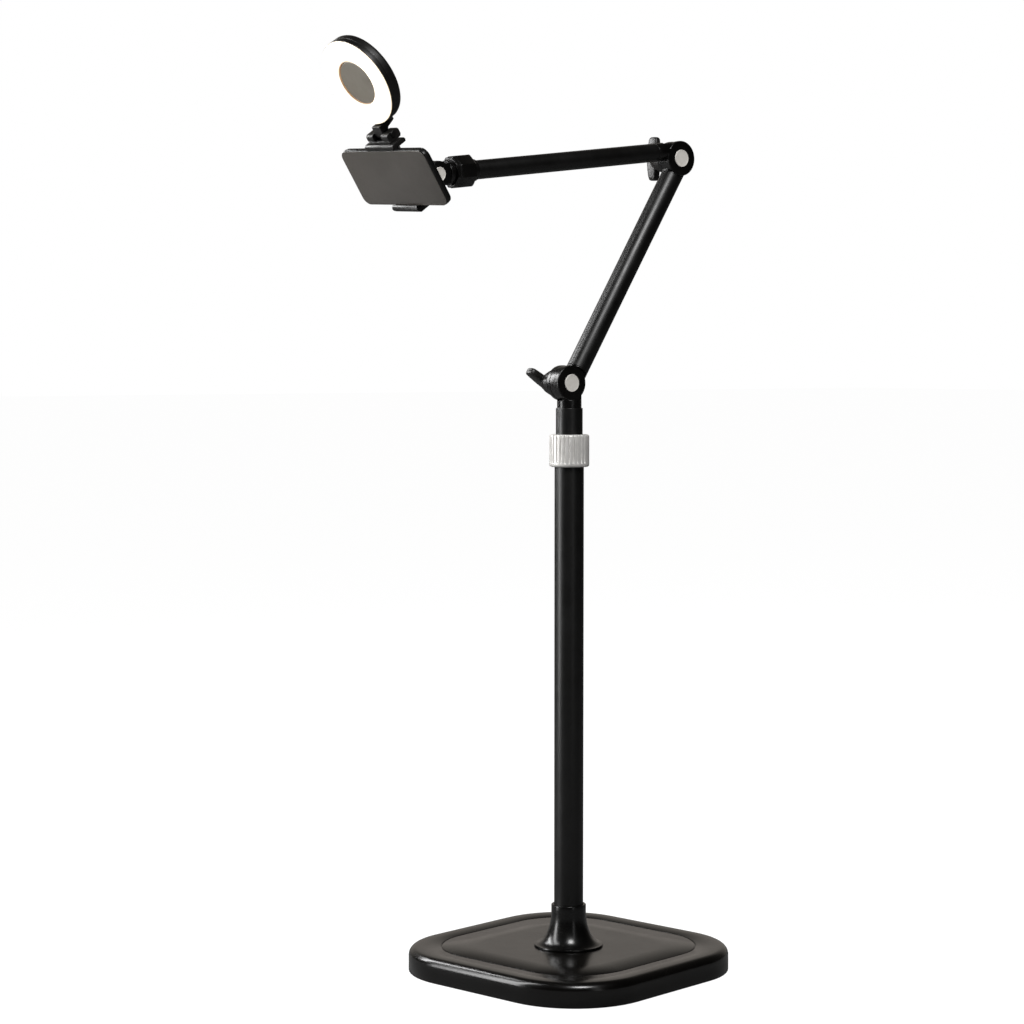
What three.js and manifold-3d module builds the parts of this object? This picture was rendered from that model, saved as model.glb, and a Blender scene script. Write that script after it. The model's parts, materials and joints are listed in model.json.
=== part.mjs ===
// Phone floor stand with a two-section folding arm, a phone in its clamp and a clip-on ring light.
// Millimetres, +Z up. The origin is the pole's axis where the base rests on the floor.
// The arms fold in the XZ plane: the elbow is at +X and the head is at -X.
// Hinge caps face -Y, wing knobs face +Y.
import * as THREE from "three";
import { mergeVertices } from "three/addons/utils/BufferGeometryUtils.js";
import Module from "manifold-3d";

const wasm = await Module();
wasm.setup();

// ---- driving dimensions ----
const GAP = 0.3; // between neighbouring pieces
const ROUND = 32; // sides of a large round piece
const FINE = 48; // sides of the largest round pieces
const SMALL = 16; // sides of a small round piece
const PAST = 1; // how far a cutting tool runs past the face it opens

const BASE_SIDE = 326;
const BASE_CORNER = 97;
const BASE_TOP = 29;
const BASE_EDGE = 9; // rounding of the top edge
const BASE_TURN = 10.3; // degrees that the base is turned about the pole
const BASE_WALL = 3;
const BASE_LIFT = 0.8; // the shell's rim stays above the floor
const GROOVE_SIDE = 260;
const GROOVE_CORNER = 77;
const GROOVE_WIDTH = 1.6;
const GROOVE_DEPTH = 1.2;
const MAT = { side: 312, corner: 90, thick: 2 };
const WEIGHT = { side: 310, corner: 89, thick: 6 };

const POLE_R = 17.3;
const POLE_WALL = 1;
const POLE_TOP = 619;
const BELL = { foot: 41, lip: 2, neck: 20.6, top: 79 };
const POLE_BOLT_R = 5;

const COLLAR = { r: 23.6, bottom: 599, top: 637, ribs: 28, edge: 2.6 };
const COLLAR_PLAIN = { at: -50, half: 26 }; // degrees: one of two opposite stretches without flutes
const MAST_R = 15.8;
const MAST_WALL = 1;
const MAST_BOTTOM = 108;
const MAST_TOP = 668;
const NECK_R = 14.4;

// A clevis joint: two cheeks with the other arm's tongue between them, a bolt, a cap and a wing knob.
const CHEEK_FACE = 11; // outer faces of the cheeks, each way from the arm plane
const SLOT_HALF = 5.1;
const TONGUE_HALF = 4.8;
const BOLT_R = 3.9;
const BOLT_HOLE_R = 4.2;
const CAP = { r: 10.3, inner: 9.9, face: 11.9 };
const WASHER = { from: 11.3, to: 13.5 };
const KNOB = { hub: 15, from: 13.9, top: 38, wingLong: 28.5, wingShort: 24, wingThick: 10.5 };
const KNOB_BORE_END = 36.3;

const SHOULDER = { x: -4.8, z: 697.4, r: 20.8 };
const LOWER = { lean: 31.9, length: 317, r: 13, wall: 1, offset: 5.6 };
const ELBOW_R = 20.9;
const UPPER = { lean: -96.9, r: 10.9, wall: 1, offset: 9.8 };
const FERRULE = { r: 11, end: 33 };
const END_FLANGE = { from: 302, to: 309.3, r: 12.6 };
const NUT = { from: 309.6, to: 336, flats: 36 };
const HEAD = { reach: 358, neck: 14, r: 15, roll: -5.2, collet: 11.7, capRadius: 8.2 };

// The phone and everything around it share one frame: origin at the middle of the screen,
// X backwards through the phone, Y along its long side and Z up its short side.
const PHONE_LEAN = -35.1; // degrees about Y from upright
const HEAD_BACK = 50.6; // the head hinge behind the screen
const HEAD_DROP = 26.4; // and below its middle
const CLAMP_TURN = { degrees: 3.7, x: 27.8 }; // the clamp stands slightly turned on its tongue
const PHONE = { long: 150, short: 70.5, thick: 8, corner: 10 };
const JAW_HALF = 25; // upper jaw
const BODY_HALF = 22.5; // clamp body with the lower jaw
const ROD = { y: 13, x: 16, r: 2.5 };
const LIGHT_PIVOT = { x: 14, z: 49.2, r: 4.6, width: 7.2 };
const LIGHT = { lean: 1.5, r: 51.8, front: -1.3, back: 15, z: 64.5 };
const LIGHT_INNER_R = 26.2;

// ---- materials ----
const finish = (color, roughness, metalness) =>
  new THREE.MeshStandardMaterial({ color, roughness, metalness });
const blackCoat = () => finish(0x0b0b0b, 0.42, 0.1);
const blackPlastic = () => finish(0x070707, 0.38, 0);
const baseSkin = () => finish(0x1a1817, 0.3, 0);
const satinSilver = () => finish(0xcfcac2, 0.38, 0.7);
const bareSteel = () => finish(0x9a9a98, 0.35, 1);
const blackRubber = () => finish(0x101010, 0.85, 0);
const nylon = () => finish(0xd8d4c8, 0.55, 0);
const castIron = () => finish(0x3a3a3a, 0.7, 0.8);
const screenGlass = () => finish(0x56524c, 0.15, 0);
const lensGlass = () => finish(0x0a0c12, 0.05, 0);
const glowing = () => finish(0xfff4e0, 0.4, 0);
const mirrorFace = () => finish(0x9b9486, 0.1, 1);
const circuitBoard = () => finish(0xe8e4da, 0.5, 0);

// ---- shapes ----
const rad = THREE.MathUtils.degToRad;

function box([x0, x1], [y0, y1], [z0, z1]) {
  const block = new THREE.BoxGeometry(x1 - x0, y1 - y0, z1 - z0);
  return block.translate((x0 + x1) / 2, (y0 + y1) / 2, (z0 + z1) / 2);
}

// A profile of [radius, height] points turned about +Z. It closes on itself unless it starts on the axis.
function turned(profile, sides = ROUND) {
  const points = profile.map(([r, z]) => new THREE.Vector2(r, z));
  if (THREE.ShapeUtils.area(points) < 0) points.reverse();
  if (profile[0][0] > 0) points.push(points[0].clone());
  return new THREE.LatheGeometry(points, sides).rotateX(Math.PI / 2);
}

const rod = (r, z0, z1, sides = ROUND) =>
  turned([[0, z0], [r, z0], [r, z1], [0, z1]], sides);
const ring = (inner, outer, z0, z1, sides = ROUND) =>
  turned([[inner, z0], [outer, z0], [outer, z1], [inner, z1]], sides);

// The same solids with their axis along +Y or +X.
const toY = (geometry) => geometry.rotateX(-Math.PI / 2);
const toX = (geometry) => geometry.rotateY(Math.PI / 2);

function roundedRectangle(width, height, corner) {
  const x = width / 2 - corner;
  const y = height / 2 - corner;
  const shape = new THREE.Shape();
  shape.absarc(x, -y, corner, -Math.PI / 2, 0);
  shape.absarc(x, y, corner, 0, Math.PI / 2);
  shape.absarc(-x, y, corner, Math.PI / 2, Math.PI);
  shape.absarc(-x, -y, corner, Math.PI, 1.5 * Math.PI);
  return shape;
}

function extruded(shape, depth, steps = 6) {
  return new THREE.ExtrudeGeometry(shape, { depth, bevelEnabled: false, curveSegments: steps });
}

const slab = (side, corner, z0, z1, steps = 8) =>
  extruded(roundedRectangle(side, side, corner), z1 - z0, steps).translate(0, 0, z0);

// A rounded rectangle in the YZ plane, from x0 to x1.
function panel(width, height, corner, x0, x1, steps = 6) {
  const axes = new THREE.Matrix4().makeBasis(
    new THREE.Vector3(0, 1, 0),
    new THREE.Vector3(0, 0, 1),
    new THREE.Vector3(1, 0, 0),
  );
  return extruded(roundedRectangle(width, height, corner), x1 - x0, steps)
    .applyMatrix4(axes)
    .translate(x0, 0, 0);
}

// An outline of [x, z] points, as wide as half each way along Y.
function sideProfile(points, half) {
  const shape = new THREE.Shape(points.map(([x, z]) => new THREE.Vector2(x, z)));
  return extruded(shape, 2 * half).rotateX(Math.PI / 2).translate(0, half, 0);
}

// ---- booleans ----
function solidOf(geometry) {
  const bare = geometry.index ? geometry.toNonIndexed() : geometry.clone();
  bare.deleteAttribute("normal");
  bare.deleteAttribute("uv");
  const merged = mergeVertices(bare, 1e-4);
  return new wasm.Manifold(
    new wasm.Mesh({
      numProp: 3,
      vertProperties: merged.attributes.position.array,
      triVerts: new Uint32Array(merged.index.array),
    }),
  );
}

function geometryOf(solid) {
  const { vertProperties, triVerts } = solid.getMesh();
  const geometry = new THREE.BufferGeometry();
  geometry.setAttribute("position", new THREE.BufferAttribute(vertProperties, 3));
  geometry.setIndex(new THREE.BufferAttribute(triVerts, 1));
  return geometry;
}

const join = (...pieces) =>
  geometryOf(pieces.map(solidOf).reduce((whole, piece) => whole.add(piece)));
const intersect = (a, b) => geometryOf(solidOf(a).intersect(solidOf(b)));
const cut = (body, ...tools) =>
  geometryOf(tools.map(solidOf).reduce((left, tool) => left.subtract(tool), solidOf(body)));

function place(parent, name, geometry, material) {
  const mesh = new THREE.Mesh(geometry, material);
  mesh.name = name;
  parent.add(mesh);
}

function frameAt(parent, name, [x, y, z], leanDegrees = 0) {
  const group = new THREE.Group();
  group.name = name;
  group.position.set(x, y, z);
  group.rotation.y = rad(leanDegrees);
  parent.add(group);
  return group;
}

// ---- base ----
function baseShell() {
  const tall = BASE_TOP - BASE_LIFT;
  const skin = new THREE.ExtrudeGeometry(
    roundedRectangle(BASE_SIDE, BASE_SIDE, BASE_CORNER),
    {
      depth: tall,
      bevelThickness: BASE_EDGE,
      bevelSize: BASE_EDGE,
      bevelOffset: -BASE_EDGE,
      bevelSegments: 4,
      curveSegments: 9,
    },
  ).translate(0, 0, BASE_LIFT - BASE_EDGE);
  const belowRim = box([-BASE_SIDE, BASE_SIDE], [-BASE_SIDE, BASE_SIDE], [-BASE_SIDE, BASE_LIFT]);
  const inner = BASE_SIDE - 2 * BASE_WALL;
  const hollow = slab(inner, BASE_CORNER - BASE_WALL, 0, BASE_TOP - BASE_WALL);
  const groove = cut(
    slab(GROOVE_SIDE, GROOVE_CORNER, BASE_TOP - GROOVE_DEPTH, BASE_TOP + PAST),
    slab(
      GROOVE_SIDE - 2 * GROOVE_WIDTH,
      GROOVE_CORNER - GROOVE_WIDTH,
      BASE_TOP - GROOVE_DEPTH - PAST,
      BASE_TOP + 2 * PAST,
    ),
  );
  const ribFoot = MAT.thick + GAP + WEIGHT.thick + GAP;
  const ribTop = BASE_TOP - BASE_WALL / 2;
  const ribHalf = inner / 2 + BASE_WALL / 2;
  const boss = rod(30, ribFoot, ribTop);
  const ribs = join(
    box([-ribHalf, ribHalf], [-1.5, 1.5], [ribFoot, ribTop]),
    box([-1.5, 1.5], [-ribHalf, ribHalf], [ribFoot, ribTop]),
  );
  const boltHole = rod(POLE_BOLT_R + 2 * GAP, 0, BASE_TOP + PAST, SMALL);
  return cut(join(cut(skin, belowRim, hollow, groove), boss, ribs), boltHole);
}

function baseWeight() {
  const bottom = MAT.thick + GAP;
  const plate = slab(WEIGHT.side, WEIGHT.corner, bottom, bottom + WEIGHT.thick);
  const counterbore = rod(10, bottom - PAST, bottom + 4, 20);
  const boltHole = rod(POLE_BOLT_R + 2 * GAP, bottom, bottom + WEIGHT.thick + PAST, SMALL);
  return cut(plate, counterbore, boltHole);
}

// The flare is a quarter ellipse between the foot band and the neck.
function bellFlange() {
  const { foot, lip, neck, top } = BELL;
  const bottom = BASE_TOP + GAP;
  const flareBottom = bottom + lip;
  const flareTop = top - 9;
  const bore = POLE_R + GAP;
  const profile = [[bore, bottom], [foot, bottom]];
  const steps = 9;
  for (let i = 0; i <= steps; i++) {
    const turn = (Math.PI / 2) * (i / steps);
    profile.push([
      neck + (foot - neck) * (1 - Math.sin(turn)),
      flareTop - (flareTop - flareBottom) * Math.cos(turn),
    ]);
  }
  profile.push([neck, top - 0.8], [neck - 0.8, top], [bore, top]);
  return turned(profile, FINE);
}

function buildBase(root) {
  const turnedBase = new THREE.Group();
  turnedBase.rotation.z = rad(BASE_TURN);
  root.add(turnedBase);
  place(turnedBase, "base_shell", baseShell(), baseSkin());
  place(turnedBase, "base_weight", baseWeight(), castIron());
  place(turnedBase, "base_mat", slab(MAT.side, MAT.corner, 0, MAT.thick), blackRubber());
  place(root, "bell_flange", bellFlange(), blackPlastic());

  const poleFoot = BASE_TOP + GAP;
  const pole = ring(POLE_R - POLE_WALL, POLE_R, poleFoot, POLE_TOP, FINE);
  place(root, "outer_tube", pole, blackCoat());
  const plug = ring(POLE_BOLT_R + GAP, POLE_R - POLE_WALL - GAP, poleFoot, 62);
  place(root, "pole_plug", plug, blackPlastic());
  const head = [[8.5, 2.4], [8.5, 5.8]];
  const shank = [[POLE_BOLT_R, 5.8], [POLE_BOLT_R, 55]];
  const bolt = turned([[0, 2.4], ...head, ...shank, [0, 55]], SMALL);
  place(root, "pole_bolt", bolt, bareSteel());

  const seat = POLE_TOP + 2 * GAP;
  const threadTop = 629;
  const sleeve = turned([
    [POLE_R + GAP, COLLAR.bottom + 4],
    [19.9, COLLAR.bottom + 4],
    [19.9, threadTop],
    [18.6, threadTop],
    [18.6, seat],
    [POLE_R + GAP, seat],
  ]);
  place(root, "thread_sleeve", sleeve, blackPlastic());
  const collet = cut(
    turned([[MAST_R + GAP, seat + GAP], [18.3, seat + GAP], [18.3, 627], [17, 631], [MAST_R + GAP, 631]]),
    box([0, 30], [-1, 1], [600, 640]),
  );
  place(root, "collet_ring", collet, nylon());
}

// A ring with rounded ends and straight flutes between its ribs, but for its two plain stretches.
function buildCollar(root) {
  const { r, bottom, top, ribs, edge } = COLLAR;
  const half = edge * 0.3;
  const body = turned(
    [
      [POLE_R + 0.5, bottom],
      [r - edge, bottom],
      [r - half, bottom + half],
      [r, bottom + edge],
      [r, top - edge],
      [r - half, top - half],
      [r - edge, top],
      [MAST_R + 0.5, top],
      [MAST_R + 0.5, 632],
      [20.3, 632],
      [20.3, bottom + 3.5],
      [POLE_R + 0.5, bottom + 3.5],
    ],
    FINE,
  );
  const flutes = [];
  for (let i = 0; i < ribs; i++) {
    const angle = (360 * i) / ribs;
    const fromPlain = Math.abs(((((angle - COLLAR_PLAIN.at) % 180) + 270) % 180) - 90);
    if (fromPlain > COLLAR_PLAIN.half) {
      const flute = rod(1.1, bottom + 5, top - 1.2, 6).translate(r + 0.1, 0, 0);
      flutes.push(flute.rotateZ(rad(angle)));
    }
  }
  place(root, "lock_collar", cut(body, ...flutes), satinSilver());
}

function buildMast(root) {
  const tube = ring(MAST_R - MAST_WALL, MAST_R, MAST_BOTTOM, MAST_TOP, FINE);
  place(root, "inner_tube", tube, blackCoat());
  const inside = MAST_R - MAST_WALL - GAP;
  const bush = turned([
    [9, MAST_BOTTOM - 4],
    [POLE_R - POLE_WALL - 0.25, MAST_BOTTOM - 4],
    [POLE_R - POLE_WALL - 0.25, MAST_BOTTOM - GAP],
    [inside, MAST_BOTTOM - GAP],
    [inside, MAST_BOTTOM + 22],
    [9, MAST_BOTTOM + 22],
  ]);
  place(root, "guide_bush", bush, nylon());
}

// ---- clevis joints ----
// Each joint is drawn with its hinge at the origin and its hinge axis along Y.
const drum = (r) => toY(rod(r, -CHEEK_FACE, CHEEK_FACE, FINE));

function boltOpening(capRadius = CAP.r) {
  return join(
    toY(rod(BOLT_HOLE_R, -CHEEK_FACE - PAST, CHEEK_FACE + PAST, SMALL)),
    toY(rod(capRadius + GAP, -CHEEK_FACE - PAST, -CAP.inner + GAP)),
    toY(rod(7, -CHEEK_FACE - PAST, -6.9, SMALL)),
  );
}

function clevisBolt() {
  const head = [[6.6, -9.3], [6.6, -7.2]];
  const end = KNOB_BORE_END - 2;
  return toY(turned([[0, -9.3], ...head, [BOLT_R, -7.2], [BOLT_R, end], [0, end]], SMALL));
}

function clevisCap(r) {
  const { inner, face } = CAP;
  return toY(turned([[0, -inner], [r, -inner], [r, -face + 0.5], [r - 0.6, -face], [0, -face]]));
}

const clevisWasher = (r) => toY(ring(BOLT_HOLE_R + GAP, r, WASHER.from, WASHER.to));

// The knob has a long wing along +Z and a short one along -Z, both beyond its tapered hub.
function wingKnob() {
  const { hub, from, top, wingLong, wingShort, wingThick } = KNOB;
  const body = turned([[0, from], [hub, from], [hub, 26], [13.2, 31], [10, 35], [9, top], [0, top]]);
  const outline = new THREE.Shape();
  outline.moveTo(-wingShort + 3, 34);
  outline.lineTo(wingLong - 3, 32);
  outline.quadraticCurveTo(wingLong, 32, wingLong, 35);
  outline.lineTo(wingLong - 1, 45);
  outline.quadraticCurveTo(wingLong - 1.5, 48, wingLong - 5, 48);
  outline.lineTo(4, 50);
  outline.quadraticCurveTo(-wingShort + 2, 49.5, -wingShort, 40);
  outline.quadraticCurveTo(-wingShort, 34, -wingShort + 3, 34);
  const wings = extruded(outline, wingThick, 4)
    .translate(0, 0, -wingThick / 2)
    .rotateY(-Math.PI / 2);
  const bore = toY(rod(BOLT_HOLE_R + 0.1, from - PAST, KNOB_BORE_END, SMALL));
  return cut(join(toY(body), wings), bore);
}

function placeClevisHardware(parent, joint, washerRadius, capRadius = CAP.r) {
  place(parent, joint + "_bolt", clevisBolt(), bareSteel());
  place(parent, joint + "_cap", clevisCap(capRadius), satinSilver());
  place(parent, joint + "_washer", clevisWasher(washerRadius), blackRubber());
}

function shoulderFork() {
  const floor = -SHOULDER.r;
  const neck = rod(NECK_R, 640, SHOULDER.z + floor + 1.2, FINE).translate(-SHOULDER.x, 0, -SHOULDER.z);
  const column = rod(NECK_R, floor - PAST, 0, FINE).translate(-SHOULDER.x, 0, 0);
  const web = intersect(column, box([-40, 40], [-CHEEK_FACE, CHEEK_FACE], [floor - 2 * PAST, PAST]));
  const slot = box([-40, 40], [-SLOT_HALF, SLOT_HALF], [floor, 40]);
  return cut(join(drum(SHOULDER.r), neck, web), slot, boltOpening());
}

// A tongue turns between the cheeks, fills the tube's end with a seat and holds it with a plug.
function tongue(discRadius, cheekRadius) {
  const disc = toY(rod(discRadius, -TONGUE_HALF, TONGUE_HALF, FINE));
  const seat = cheekRadius + 0.4;
  const webSide = LOWER.r - 0.5;
  const web = box(
    [LOWER.offset - webSide, LOWER.offset + webSide],
    [-TONGUE_HALF, TONGUE_HALF],
    [0, seat + PAST],
  );
  const end = rod(LOWER.r, seat, seat + PAST).translate(LOWER.offset, 0, 0);
  const plugRadius = LOWER.r - LOWER.wall - GAP;
  const plug = rod(plugRadius, seat, seat + 30).translate(LOWER.offset, 0, 0);
  const hole = toY(rod(BOLT_HOLE_R, -TONGUE_HALF - PAST, TONGUE_HALF + PAST, SMALL));
  return cut(join(disc, web, end, plug), hole);
}

function buildShoulder(root) {
  const at = [SHOULDER.x, 0, SHOULDER.z];
  const fork = frameAt(root, "shoulder_frame", at);
  place(fork, "shoulder_fork", shoulderFork(), blackPlastic());
  placeClevisHardware(fork, "shoulder", 17.5);
  const knobTurn = -59; // the long wing points up and towards -X
  const knob = frameAt(root, "shoulder_knob_frame", at, knobTurn);
  place(knob, "shoulder_knob", wingKnob(), blackPlastic());
}

function buildLowerArm(root) {
  const arm = frameAt(root, "lower_frame", [SHOULDER.x, 0, SHOULDER.z], LOWER.lean);
  const gapPastSeat = PAST + 0.4 + GAP;
  const start = SHOULDER.r + gapPastSeat;
  const end = LOWER.length - ELBOW_R - gapPastSeat;
  const tube = ring(LOWER.r - LOWER.wall, LOWER.r, start, end, FINE).translate(LOWER.offset, 0, 0);
  place(arm, "lower_arm_tube", tube, blackCoat());
  place(arm, "shoulder_tongue", tongue(SHOULDER.r - 0.4, SHOULDER.r), blackPlastic());
  const farEnd = new THREE.Matrix4().makeRotationX(Math.PI).setPosition(0, 0, LOWER.length);
  const elbowTongue = tongue(ELBOW_R - 0.4, ELBOW_R).applyMatrix4(farEnd);
  place(arm, "elbow_tongue", elbowTongue, blackPlastic());
}

// The fork's ferrule lies flush with the drum's upper side and takes the end of the upper tube.
function elbowFork() {
  const ferrule = rod(FERRULE.r, 0, FERRULE.end).translate(UPPER.offset, 0, 0);
  const plugRadius = UPPER.r - UPPER.wall - GAP;
  const plug = rod(plugRadius, FERRULE.end - PAST, FERRULE.end + 27).translate(UPPER.offset, 0, 0);
  const slot = box([-40, 40], [-SLOT_HALF, SLOT_HALF], [-40, ELBOW_R]);
  return cut(join(drum(ELBOW_R), ferrule, plug), slot, boltOpening());
}

function armEndFlange() {
  const plug = UPPER.r - UPPER.wall - GAP;
  const { from, to, r } = END_FLANGE;
  const spigot = 8.6;
  const profile = [[0, from - 30], [plug, from - 30], [plug, from], [r, from], [r, to]];
  return turned([...profile, [spigot, to], [spigot, NUT.to - 4], [0, NUT.to - 4]]);
}

function lockNut() {
  const { from, to, flats } = NUT;
  const corner = flats / 2 / Math.cos(Math.PI / 8);
  const bevel = 2.5;
  const outside = turned(
    [
      [0, from],
      [corner - bevel * 1.6, from],
      [corner, from + bevel],
      [corner, to - bevel * 0.6],
      [corner - bevel, to],
      [0, to],
    ],
    8,
  ).rotateZ(Math.PI / 8);
  const endWall = from + 2.8;
  return cut(
    outside,
    rod(9.2, from - PAST, to + PAST),
    rod(HEAD.collet + 0.7, endWall, to + PAST),
  );
}

function buildUpperArm(root) {
  const lean = rad(LOWER.lean);
  const elbow = [
    SHOULDER.x + LOWER.length * Math.sin(lean),
    0,
    SHOULDER.z + LOWER.length * Math.cos(lean),
  ];
  const arm = frameAt(root, "upper_frame", elbow, UPPER.lean);
  place(arm, "elbow_fork", elbowFork(), blackPlastic());
  placeClevisHardware(arm, "elbow", 18.5);
  const knob = frameAt(root, "elbow_knob_frame", elbow, 0);
  place(knob, "elbow_knob", wingKnob(), blackPlastic());

  const bore = frameAt(arm, "bore_frame", [UPPER.offset, 0, 0]);
  const inner = UPPER.r - UPPER.wall;
  const tube = ring(inner, UPPER.r, FERRULE.end + GAP, END_FLANGE.from - GAP, FINE);
  place(bore, "upper_arm_tube", tube, blackCoat());
  place(bore, "arm_end_flange", armEndFlange(), blackPlastic());
  place(bore, "lock_nut", lockNut(), blackPlastic());
  return bore;
}

// ---- head ----
function headFork() {
  const { reach, neck, r, collet } = HEAD;
  const stem = rod(collet, NUT.from + 3.2, NUT.to + 2);
  const slotFloor = reach - r;
  const collar = rod(neck, NUT.to + GAP, slotFloor - 0.4);
  const web = box([-11.5, 11.5], [-CHEEK_FACE, CHEEK_FACE], [slotFloor - PAST, reach - 6]);
  const cheeks = join(drum(r).translate(0, 0, reach), web);
  const slot = box([-30, 30], [-SLOT_HALF, SLOT_HALF], [slotFloor, reach + 30]);
  const spigotBore = rod(9, NUT.from, NUT.to - 3);
  const opening = boltOpening(HEAD.capRadius).translate(0, 0, reach);
  return cut(join(stem, collar, cheeks), slot, spigotBore, opening);
}

function buildHead(bore) {
  const head = frameAt(bore, "roll_frame", [0, 0, 0]);
  head.rotation.z = rad(HEAD.roll);
  place(head, "head_fork", headFork(), blackPlastic());
  const hinge = frameAt(head, "head_frame", [0, 0, HEAD.reach], PHONE_LEAN - UPPER.lean);
  placeClevisHardware(hinge, "head", 14, HEAD.capRadius);
  const knobTurn = -90; // the long wing lies behind the phone
  const knob = frameAt(hinge, "head_knob_frame", [0, 0, 0], knobTurn);
  place(knob, "head_knob", wingKnob(), blackPlastic());
  const clamp = frameAt(hinge, "clamp_turn_frame", [CLAMP_TURN.x - HEAD_BACK, 0, HEAD_DROP]);
  clamp.rotation.z = rad(CLAMP_TURN.degrees);
  return frameAt(clamp, "phone_frame_origin", [-CLAMP_TURN.x, 0, 0]);
}

// ---- clamp ----
const CLAMP = { back: 24, front: 11, top: 20, bottom: -43, padGap: 0.2 };
const PAD = 1.3;

// The tongue stands square to its hinge; its foot plate and the clamp are turned by CLAMP_TURN.
function clampTongue() {
  const discRadius = HEAD.r - 0.4;
  const disc = toY(rod(discRadius, -TONGUE_HALF, TONGUE_HALF)).translate(HEAD_BACK, 0, 0);
  const foot = CLAMP.back + 2.8;
  const cheekClear = HEAD_BACK - HEAD.r - 0.6;
  const web = box([foot - PAST, HEAD_BACK], [-TONGUE_HALF, TONGUE_HALF], [-9, 9]);
  const stem = toX(rod(9, foot - PAST, cheekClear, 24));
  const hole = toY(rod(BOLT_HOLE_R, -10, 10, SMALL)).translate(HEAD_BACK, 0, 0);
  const arm = cut(join(disc, web, stem), hole)
    .translate(-CLAMP_TURN.x, 0, 0)
    .rotateZ(-rad(CLAMP_TURN.degrees))
    .translate(CLAMP_TURN.x, 0, 0);
  const plate = panel(26, 26, 5, CLAMP.back + GAP, foot, 3);
  return join(arm, plate).translate(0, 0, -HEAD_DROP);
}

// The back block and the fixed lower jaw are one moulding, bored for the upper jaw's rods.
function clampBody() {
  const edge = -PHONE.short / 2;
  const floor = edge - CLAMP.padGap - PAD - GAP;
  const outline = [
    [CLAMP.back - 3, CLAMP.bottom],
    [CLAMP.back, CLAMP.bottom + 4],
    [CLAMP.back, CLAMP.top],
    [CLAMP.front, CLAMP.top],
    [CLAMP.front, floor],
    [-1, floor],
    [-1, edge + 0.9],
    [-2.4, edge + 1.6],
    [-4.2, edge + 0.4],
    [-5.2, edge - 2.4],
    [-4.2, edge - 4.8],
    [-1, CLAMP.bottom],
  ];
  const bores = [-ROD.y, ROD.y].map((y) =>
    rod(ROD.r + 0.4, -28, CLAMP.top + PAST, SMALL).translate(ROD.x, y, 0),
  );
  return cut(sideProfile(outline, BODY_HALF), ...bores);
}

// The cover leaves the tongue's foot plate free.
function clampCover() {
  const cover = panel(38, 54, 6, CLAMP.back + GAP, CLAMP.back + 2.2, 4).translate(0, 0, -12);
  const window = panel(27, 27, 5, CLAMP.back, CLAMP.back + 4, 3).translate(0, 0, -HEAD_DROP);
  return cut(cover, window);
}

function upperJaw() {
  const edge = PHONE.short / 2;
  const seat = edge + CLAMP.padGap + PAD + GAP;
  const outline = [
    [1, seat],
    [8.4, seat],
    [8.4, edge + GAP],
    [21, edge + GAP],
    [22, edge + 3],
    [20.5, edge + 5.4],
    [17, edge + 6],
    [3.5, edge + 6],
    [1.4, edge + 4.8],
  ];
  const sockets = [-ROD.y, ROD.y].map((y) =>
    rod(ROD.r + GAP, edge, edge + 4.8, SMALL).translate(ROD.x, y, 0),
  );
  return cut(sideProfile(outline, JAW_HALF), ...sockets);
}

// The light clip stands on the upper jaw with two ears for the light's hinge.
const CLIP = { half: 19, front: 5, back: 23.8, earTop: 52.4 };

function lightClip() {
  const { half, front, back, earTop } = CLIP;
  const foot = PHONE.short / 2 + 6 + GAP;
  const outline = [
    [front, foot],
    [back - 1.8, foot],
    [back, foot + 2.5],
    [back, earTop - 4],
    [back - 1.4, earTop - 1.4],
    [back - 4, earTop],
    [front + 5, earTop],
    [front + 2.2, earTop - 1],
    [front + 0.8, earTop - 3.2],
    [front, foot + 3],
  ];
  const gapHalf = LIGHT_PIVOT.width + 0.4;
  const gap = box([0, 30], [-gapHalf, gapHalf], [LIGHT_PIVOT.z - LIGHT_PIVOT.r - GAP, earTop + PAST]);
  const hole = toY(rod(2.3, -half - PAST, half + PAST, SMALL)).translate(LIGHT_PIVOT.x, 0, LIGHT_PIVOT.z);
  return cut(sideProfile(outline, half), gap, hole);
}

function lightPin() {
  const { half } = CLIP;
  const head = [[0, -half - 1.8], [3.2, -half - 1.8], [3.2, -half - GAP]];
  const profile = [...head, [2, -half - GAP], [2, half - 0.2], [0, half - 0.2]];
  return toY(turned(profile, SMALL)).translate(LIGHT_PIVOT.x, 0, LIGHT_PIVOT.z);
}

function buildClamp(phone) {
  place(phone, "clamp_tongue", clampTongue(), blackPlastic());
  place(phone, "clamp_body", clampBody(), blackPlastic());
  place(phone, "clamp_cover", clampCover(), blackPlastic());
  const edge = PHONE.short / 2 + CLAMP.padGap;
  const lowerHalf = BODY_HALF - 1;
  const lowerPad = box([-0.7, CLAMP.front - GAP], [-lowerHalf, lowerHalf], [-edge - PAD, -edge]);
  place(phone, "lower_jaw_pad", lowerPad, blackRubber());
  const backPad = panel(34, 44, 4, PHONE.thick + GAP, CLAMP.front - GAP, 3).translate(0, 0, -8);
  place(phone, "back_pad", backPad, blackRubber());

  place(phone, "upper_jaw", upperJaw(), blackPlastic());
  const upperHalf = JAW_HALF - 1;
  const upperPad = box([1.2, 8.1], [-upperHalf, upperHalf], [edge, edge + PAD]);
  place(phone, "upper_jaw_pad", upperPad, blackRubber());
  for (const [side, y] of [["near", -ROD.y], ["far", ROD.y]]) {
    const guide = rod(ROD.r, -18, edge + 4, SMALL).translate(ROD.x, y, 0);
    place(phone, "guide_rod_" + side, guide, bareSteel());
  }
  place(phone, "light_clip", lightClip(), blackPlastic());
  place(phone, "light_pin", lightPin(), bareSteel());
}

// ---- phone ----
const KEY = { wide: 2.6, proud: 0.5, inside: 1.5, travelRoom: 0.6 };
const POWER_KEY = { at: -55, long: 12 }; // turned over to the lower edge
const VOLUME_KEY = { at: 54.8, long: 19 };

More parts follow.
